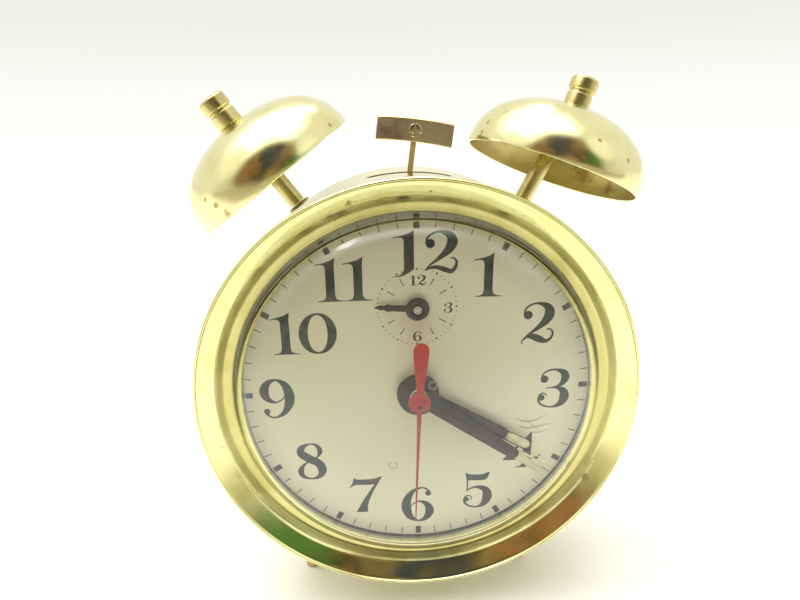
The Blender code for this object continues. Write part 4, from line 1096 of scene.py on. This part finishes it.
# ---------------------------------------------------------------- back of the clock
def fluted(profile, flutes, depth, beyond, at):
    """Turned knob, grooved to depth for the fingers where its radius is beyond a limit."""
    bm = turned(softened(profile), flutes * 6, at, BACKWARD)
    for vert in bm.verts:
        across, up = vert.co.x - at[0], vert.co.z - at[2]
        radius = math.hypot(across, up)
        if radius > beyond:
            pull = 1 - depth / radius * (0.5 - 0.5 * math.cos(flutes * math.atan2(up, across)))
            vert.co.x, vert.co.z = at[0] + across * pull, at[2] + up * pull
    return bm


def make_keys():
    """Two winding keys, each a sleeve on its arbor with a pierced bow across its end."""
    for side in ("time", "alarm"):
        axis = PIVOT[side + "_winding"]
        barrel = softened([(0, 43.6), (3.4, 43.6, 0.2), (3.7, 44.2, 0.2), (3.7, 45.2, 0.1), (3.2, 45.6, 0.1),
                           (3.2, 49.8, 0.2), (3.7, 50.4, 0.3), (3.4, 51.5, 0.3), (0, 51.5)])
        sleeve = turned(barrel, 48, (axis.x, 0, axis.z), BACKWARD)
        lobe = [(6.4 + 4.1 * math.cos(t), 3.6 * math.sin(t)) for t in
                [math.radians(-128 + 256 * k / 24) for k in range(25)]]
        outline = lobe + [(-x, z) for x, z in reversed(lobe)]
        loops = [outline, circle(1.5, 24, (7.2, 0)), circle(1.5, 24, (-7.2, 0))]
        wings = slab([[(x + axis.x, z + axis.z) for x, z in loop] for loop in loops], 51.2, 52.8)
        made = piece(side + "_key_winged", joined(sleeve, wings), TRIM_BRASS, side + "_winder",
                     [side + "_key"])
        bevelled(made, 0.3, 3)


def make_knobs():
    """The two setting knobs and the slide that silences the alarm."""
    profile = [(0, 43.6), (2.6, 43.6, 0.2), (2.6, 45.2, 0.3), (4.85, 45.9, 0.5), (4.85, 50.2, 0.5),
               (4.2, 51.0, 0.4), (3.3, 51.0, 0.2), (2.9, 50.7, 0.2), (0, 50.7)]
    for name, joint, body in (("time_set_knob", "time_set_turn", "time_setting"),
                              ("alarm_set_knob", "alarm_set_turn", "alarm_setting")):
        axis = PIVOT[joint]
        knob = fluted(profile, 22, 0.35, 4.5, (axis.x, 0, axis.z))
        piece(name + "_fluted", knob, TRIM_BRASS, body, [name])
    low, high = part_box("alarm_shutoff")
    middle = ((low + high) / 2 - DIAL) / MM
    button = [(0, 39.5), (1.4, 39.5), (1.4, 42.8, 0.3), (3.0, 43.5, 0.4), (3.0, 45.2, 0.4), (2.3, 46.0, 0.4),
              (0, 46.0)]
    stem = fluted(button, 16, 0.25, 2.7, (middle.x, 0, middle.z))
    bar = slab([rectangle(middle.x, middle.z, 6.5, 2.6)], 38.6, 39.8)
    piece("shutoff_knob", joined(stem, bar), TRIM_BRASS, "shutoff", ["alarm_shutoff"])


def make_cover():
    """Stamped steps in the back cover: a raised rim and a shallow ring round each hole for a key."""
    rim = softened([(50.9, 41.3), (50.9, 41.55, 0.15), (51.6, 41.85, 0.2), (52.6, 41.85, 0.25), (53.0, 41.3)])
    rings = [turned(rim, 160, (0, 0, 0), BACKWARD)]
    for joint in ("time_winding", "alarm_winding"):
        axis = PIVOT[joint]
        step = softened([(5.2, 41.3), (5.2, 41.5, 0.1), (5.7, 41.7, 0.15), (6.6, 41.7, 0.15), (7.0, 41.3)])
        rings.append(turned(step, 64, (axis.x, 0, axis.z), BACKWARD))
    piece("cover_stamping", joined(*rings), COVER_BRASS, "case")
    dress(COVER_BRASS, "back_cover")


def make_screws():
    """Slotted heads of the four screws that hold the back cover."""
    for number in range(1, 5):
        name = "cover_screw_%d" % number
        low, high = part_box(name)
        centre = ((low + high) / 2 - DIAL) / MM
        start = edge(name, 1, 0) + 3.7
        head = softened([(0, start - 1), (2.55, start - 1), (2.6, start + 0.5, 0.3), (1.9, start + 1.3, 0.6),
                         (0, start + 1.3)])
        screw = turned(head, 40, (centre.x, 0, centre.z), BACKWARD)
        made = piece("cover_screw_head_%d" % number, screw, STEEL, "case", [name])
        slot = rectangle(centre.x, centre.z, 3, 0.3)
        carved(made, slab([slot], start + 0.8, start + 3))


def dress(material, *names):
    """Give CAD nodes that stay in view a material."""
    for name in names:
        data = frame["nodes"][name].data
        data.materials.clear()
        data.materials.append(material)


def make_inner_finishes():
    """The movement, which shows only through the slots."""
    dress(STEEL, "front_plate", "back_plate", "time_winding_arbor", "alarm_winding_arbor", "alarm_set_arbor",
          "hammer_arbor", "cannon_pinion", "pallet_lever", "regulator_lever")
    dress(WHEEL_BRASS, "center_wheel", "third_wheel", "fourth_wheel", "escape_wheel", "time_great_wheel",
          "alarm_great_wheel", "alarm_escape_wheel", "minute_wheel", "hour_wheel", "alarm_wheel",
          "balance_wheel", "pillar_1", "pillar_2", "pillar_3", "pillar_4")
    dress(BLUED, "time_mainspring", "alarm_mainspring", "hairspring")


# ---------------------------------------------------------------- studio
# The camera's place is in clock millimetres and its angles are in radians.
CAMERA_PLACE = Vector((-10.5, -144.6, 72.7))
CAMERA_YAW = -0.043
CAMERA_PITCH = -0.317
CAMERA_ROLL = -0.0154
CAMERA_LENS = 27.0


def make_camera():
    data = bpy.data.cameras.new("camera")
    data.lens = CAMERA_LENS
    data.sensor_width = 36.0
    data.clip_start = 0.01
    camera = bpy.data.objects.new("camera", data)
    bpy.context.scene.collection.objects.link(camera)
    right = Vector((math.cos(CAMERA_YAW), math.sin(CAMERA_YAW), 0))
    ahead = Vector((-math.sin(CAMERA_YAW), math.cos(CAMERA_YAW), 0))
    up = Vector((0, 0, 1))
    forward = ahead * math.cos(CAMERA_PITCH) + up * math.sin(CAMERA_PITCH)
    above = up * math.cos(CAMERA_PITCH) - ahead * math.sin(CAMERA_PITCH)
    rolled = right * math.cos(CAMERA_ROLL) + above * math.sin(CAMERA_ROLL)
    top = above * math.cos(CAMERA_ROLL) - right * math.sin(CAMERA_ROLL)
    turn = Matrix((rolled, top, -forward)).transposed().to_4x4()
    camera.matrix_world = Matrix.Translation(DIAL + CAMERA_PLACE * MM) @ turn
    bpy.context.scene.camera = camera


def make_floor():
    """A wide pale floor. Seen in a mirror it is darker in front, as the room there is."""
    side = 3.0
    floor_bm = bmesh.new()
    bmesh.ops.create_grid(floor_bm, x_segments=8, y_segments=8, size=side)
    bmesh.ops.translate(floor_bm, vec=(0, 0, -0.0002), verts=floor_bm.verts)
    mesh = bpy.data.meshes.new("studio_floor")
    floor_bm.to_mesh(mesh)
    floor_bm.free()
    floor = bpy.data.objects.new("studio_floor", mesh)
    bpy.context.scene.collection.objects.link(floor)
    paper = Surface("studio_paper", roughness=0.8)
    split = paper.node("ShaderNodeSeparateXYZ")
    paper.link(paper.place, split.inputs[0])
    fade = paper.band(split.outputs["Y"], -0.09, -0.32)
    tone = paper.mix(paper.noise(60, 3), (0.93, 0.93, 0.90), (0.90, 0.90, 0.86))
    mirrored = paper.mix(fade, tone, (0.40, 0.36, 0.27))
    paper.colour(paper.mix(paper.node("ShaderNodeLightPath").outputs["Is Camera Ray"], mirrored, tone))
    mesh.materials.append(paper.material)


def make_strip():
    """A long lamp overhead, which the crystal mirrors as an arc near 12."""
    data = bpy.data.lights.new("ceiling_strip", "AREA")
    data.shape = "RECTANGLE"
    data.size = 0.80
    data.size_y = 0.115
    data.energy = 2.9
    lamp = bpy.data.objects.new("ceiling_strip", data)
    lamp.location = (-0.11, 0.10, 0.66)
    lamp.rotation_euler = (0, 0, math.radians(48))
    bpy.context.scene.collection.objects.link(lamp)


def make_room():
    """A bright overhead sky over a dim front, which brass mirrors. The camera sees a plain pale backdrop."""
    world = bpy.data.worlds.new("studio")
    world.use_nodes = True
    tree = world.node_tree

    def node(kind, **settings):
        made = tree.nodes.new(kind)
        for key, value in settings.items():
            setattr(made, key, value)
        return made

    place = node("ShaderNodeTexCoord").outputs["Generated"]

    edges = node("ShaderNodeTexNoise")
    edges.inputs["Scale"].default_value = 9.0
    edges.inputs["Detail"].default_value = 3.0
    tree.links.new(place, edges.inputs["Vector"])

    def toward(direction, start, end, ragged=0.0):
        """Runs from 0 to 1 as the cosine of the angle to a direction goes from start to end."""
        dot = node("ShaderNodeVectorMath", operation="DOT_PRODUCT")
        tree.links.new(place, dot.inputs[0])
        dot.inputs[1].default_value = Vector(direction).normalized()
        ramp = node("ShaderNodeMapRange", interpolation_type="SMOOTHSTEP")
        ramp.inputs["From Min"].default_value = start
        ramp.inputs["From Max"].default_value = end
        stirred = node("ShaderNodeMath", operation="MULTIPLY_ADD")
        tree.links.new(edges.outputs["Fac"], stirred.inputs[0])
        stirred.inputs[1].default_value = ragged
        tree.links.new(dot.outputs["Value"], stirred.inputs[2])
        tree.links.new(stirred.outputs["Value"], ramp.inputs["Value"])
        return ramp.outputs["Result"]

    def mixed(factor, first, second):
        made = node("ShaderNodeMix", data_type="RGBA")
        tree.links.new(factor, made.inputs["Factor"])
        for socket, colour in ((made.inputs[6], first), (made.inputs[7], second)):
            if isinstance(colour, tuple):
                socket.default_value = (*colour, 1)
            else:
                tree.links.new(colour, socket)
        return made.outputs[2]

    patches = node("ShaderNodeTexNoise")
    patches.inputs["Scale"].default_value = 3.4
    patches.inputs["Detail"].default_value = 2.0
    tree.links.new(place, patches.inputs["Vector"])
    clouds = node("ShaderNodeMapRange", interpolation_type="SMOOTHSTEP")
    clouds.inputs["From Min"].default_value = 0.42
    clouds.inputs["From Max"].default_value = 0.64
    tree.links.new(patches.outputs["Fac"], clouds.inputs["Value"])
    far_room = mixed(clouds.outputs["Result"], (0.05, 0.055, 0.035), (0.34, 0.23, 0.11))
    far_room = mixed(toward((0.66, -0.73, 0.20), 1.03, 1.08, 0.20), far_room, (0.09, 0.20, 0.06))
    far_room = mixed(toward((0.38, -0.81, 0.46), 1.09, 1.115, 0.20), far_room, (0.32, 0.17, 0.08))
    far_room = mixed(toward((-0.52, -0.79, 0.32), 1.055, 1.09, 0.20), far_room, (0.34, 0.17, 0.08))
    room = mixed(toward((0, 0, 1), 0.14, -0.04), far_room, (0.42, 0.36, 0.27))
    walls = mixed(toward((0, 1, 0.3), -0.9, 0.2), (0.66, 0.64, 0.55), (0.96, 0.96, 0.90))
    ceiling = mixed(toward((-0.25, -0.10, 0.95), 0.68, 0.88), walls, (2.5, 2.5, 2.4))
    dim_front = mixed(toward((0.0, -0.95, 0.20), 0.56, 0.76), ceiling, room)
    near_lens = mixed(toward((0.0, -0.83, 0.54), 1.055, 1.085, 0.18), dim_front, (0.055, 0.065, 0.11))
    right_lamp = mixed(toward((0.74, -0.42, 0.55), 0.93, 0.985), near_lens, (1.15, 1.15, 1.05))
    mirrored = mixed(toward((-0.84, -0.28, 0.55), 0.90, 0.985), right_lamp, (1.15, 1.15, 1.05))
    backdrop = mixed(toward((0, 0, 1), -0.01, 0.14), (1.0, 1.0, 0.96), (0.87, 0.87, 0.78))
    seen = mixed(node("ShaderNodeLightPath").outputs["Is Camera Ray"], mirrored, backdrop)
    tree.links.new(seen, tree.nodes["Background"].inputs["Color"])
    bpy.context.scene.world = world
    bpy.context.scene.view_settings.view_transform = "Standard"


make_drum()
make_bezel()
make_crystal()
make_dial()
make_hour_hand()
make_minute_hand()
make_second_hand()
make_alarm_hand()
make_hand_hubs()
make_bells()
make_posts()
make_hammer()
make_feet()
make_cover()
make_keys()
make_knobs()
make_screws()
make_inner_finishes()
make_camera()
make_floor()
make_strip()
make_room()
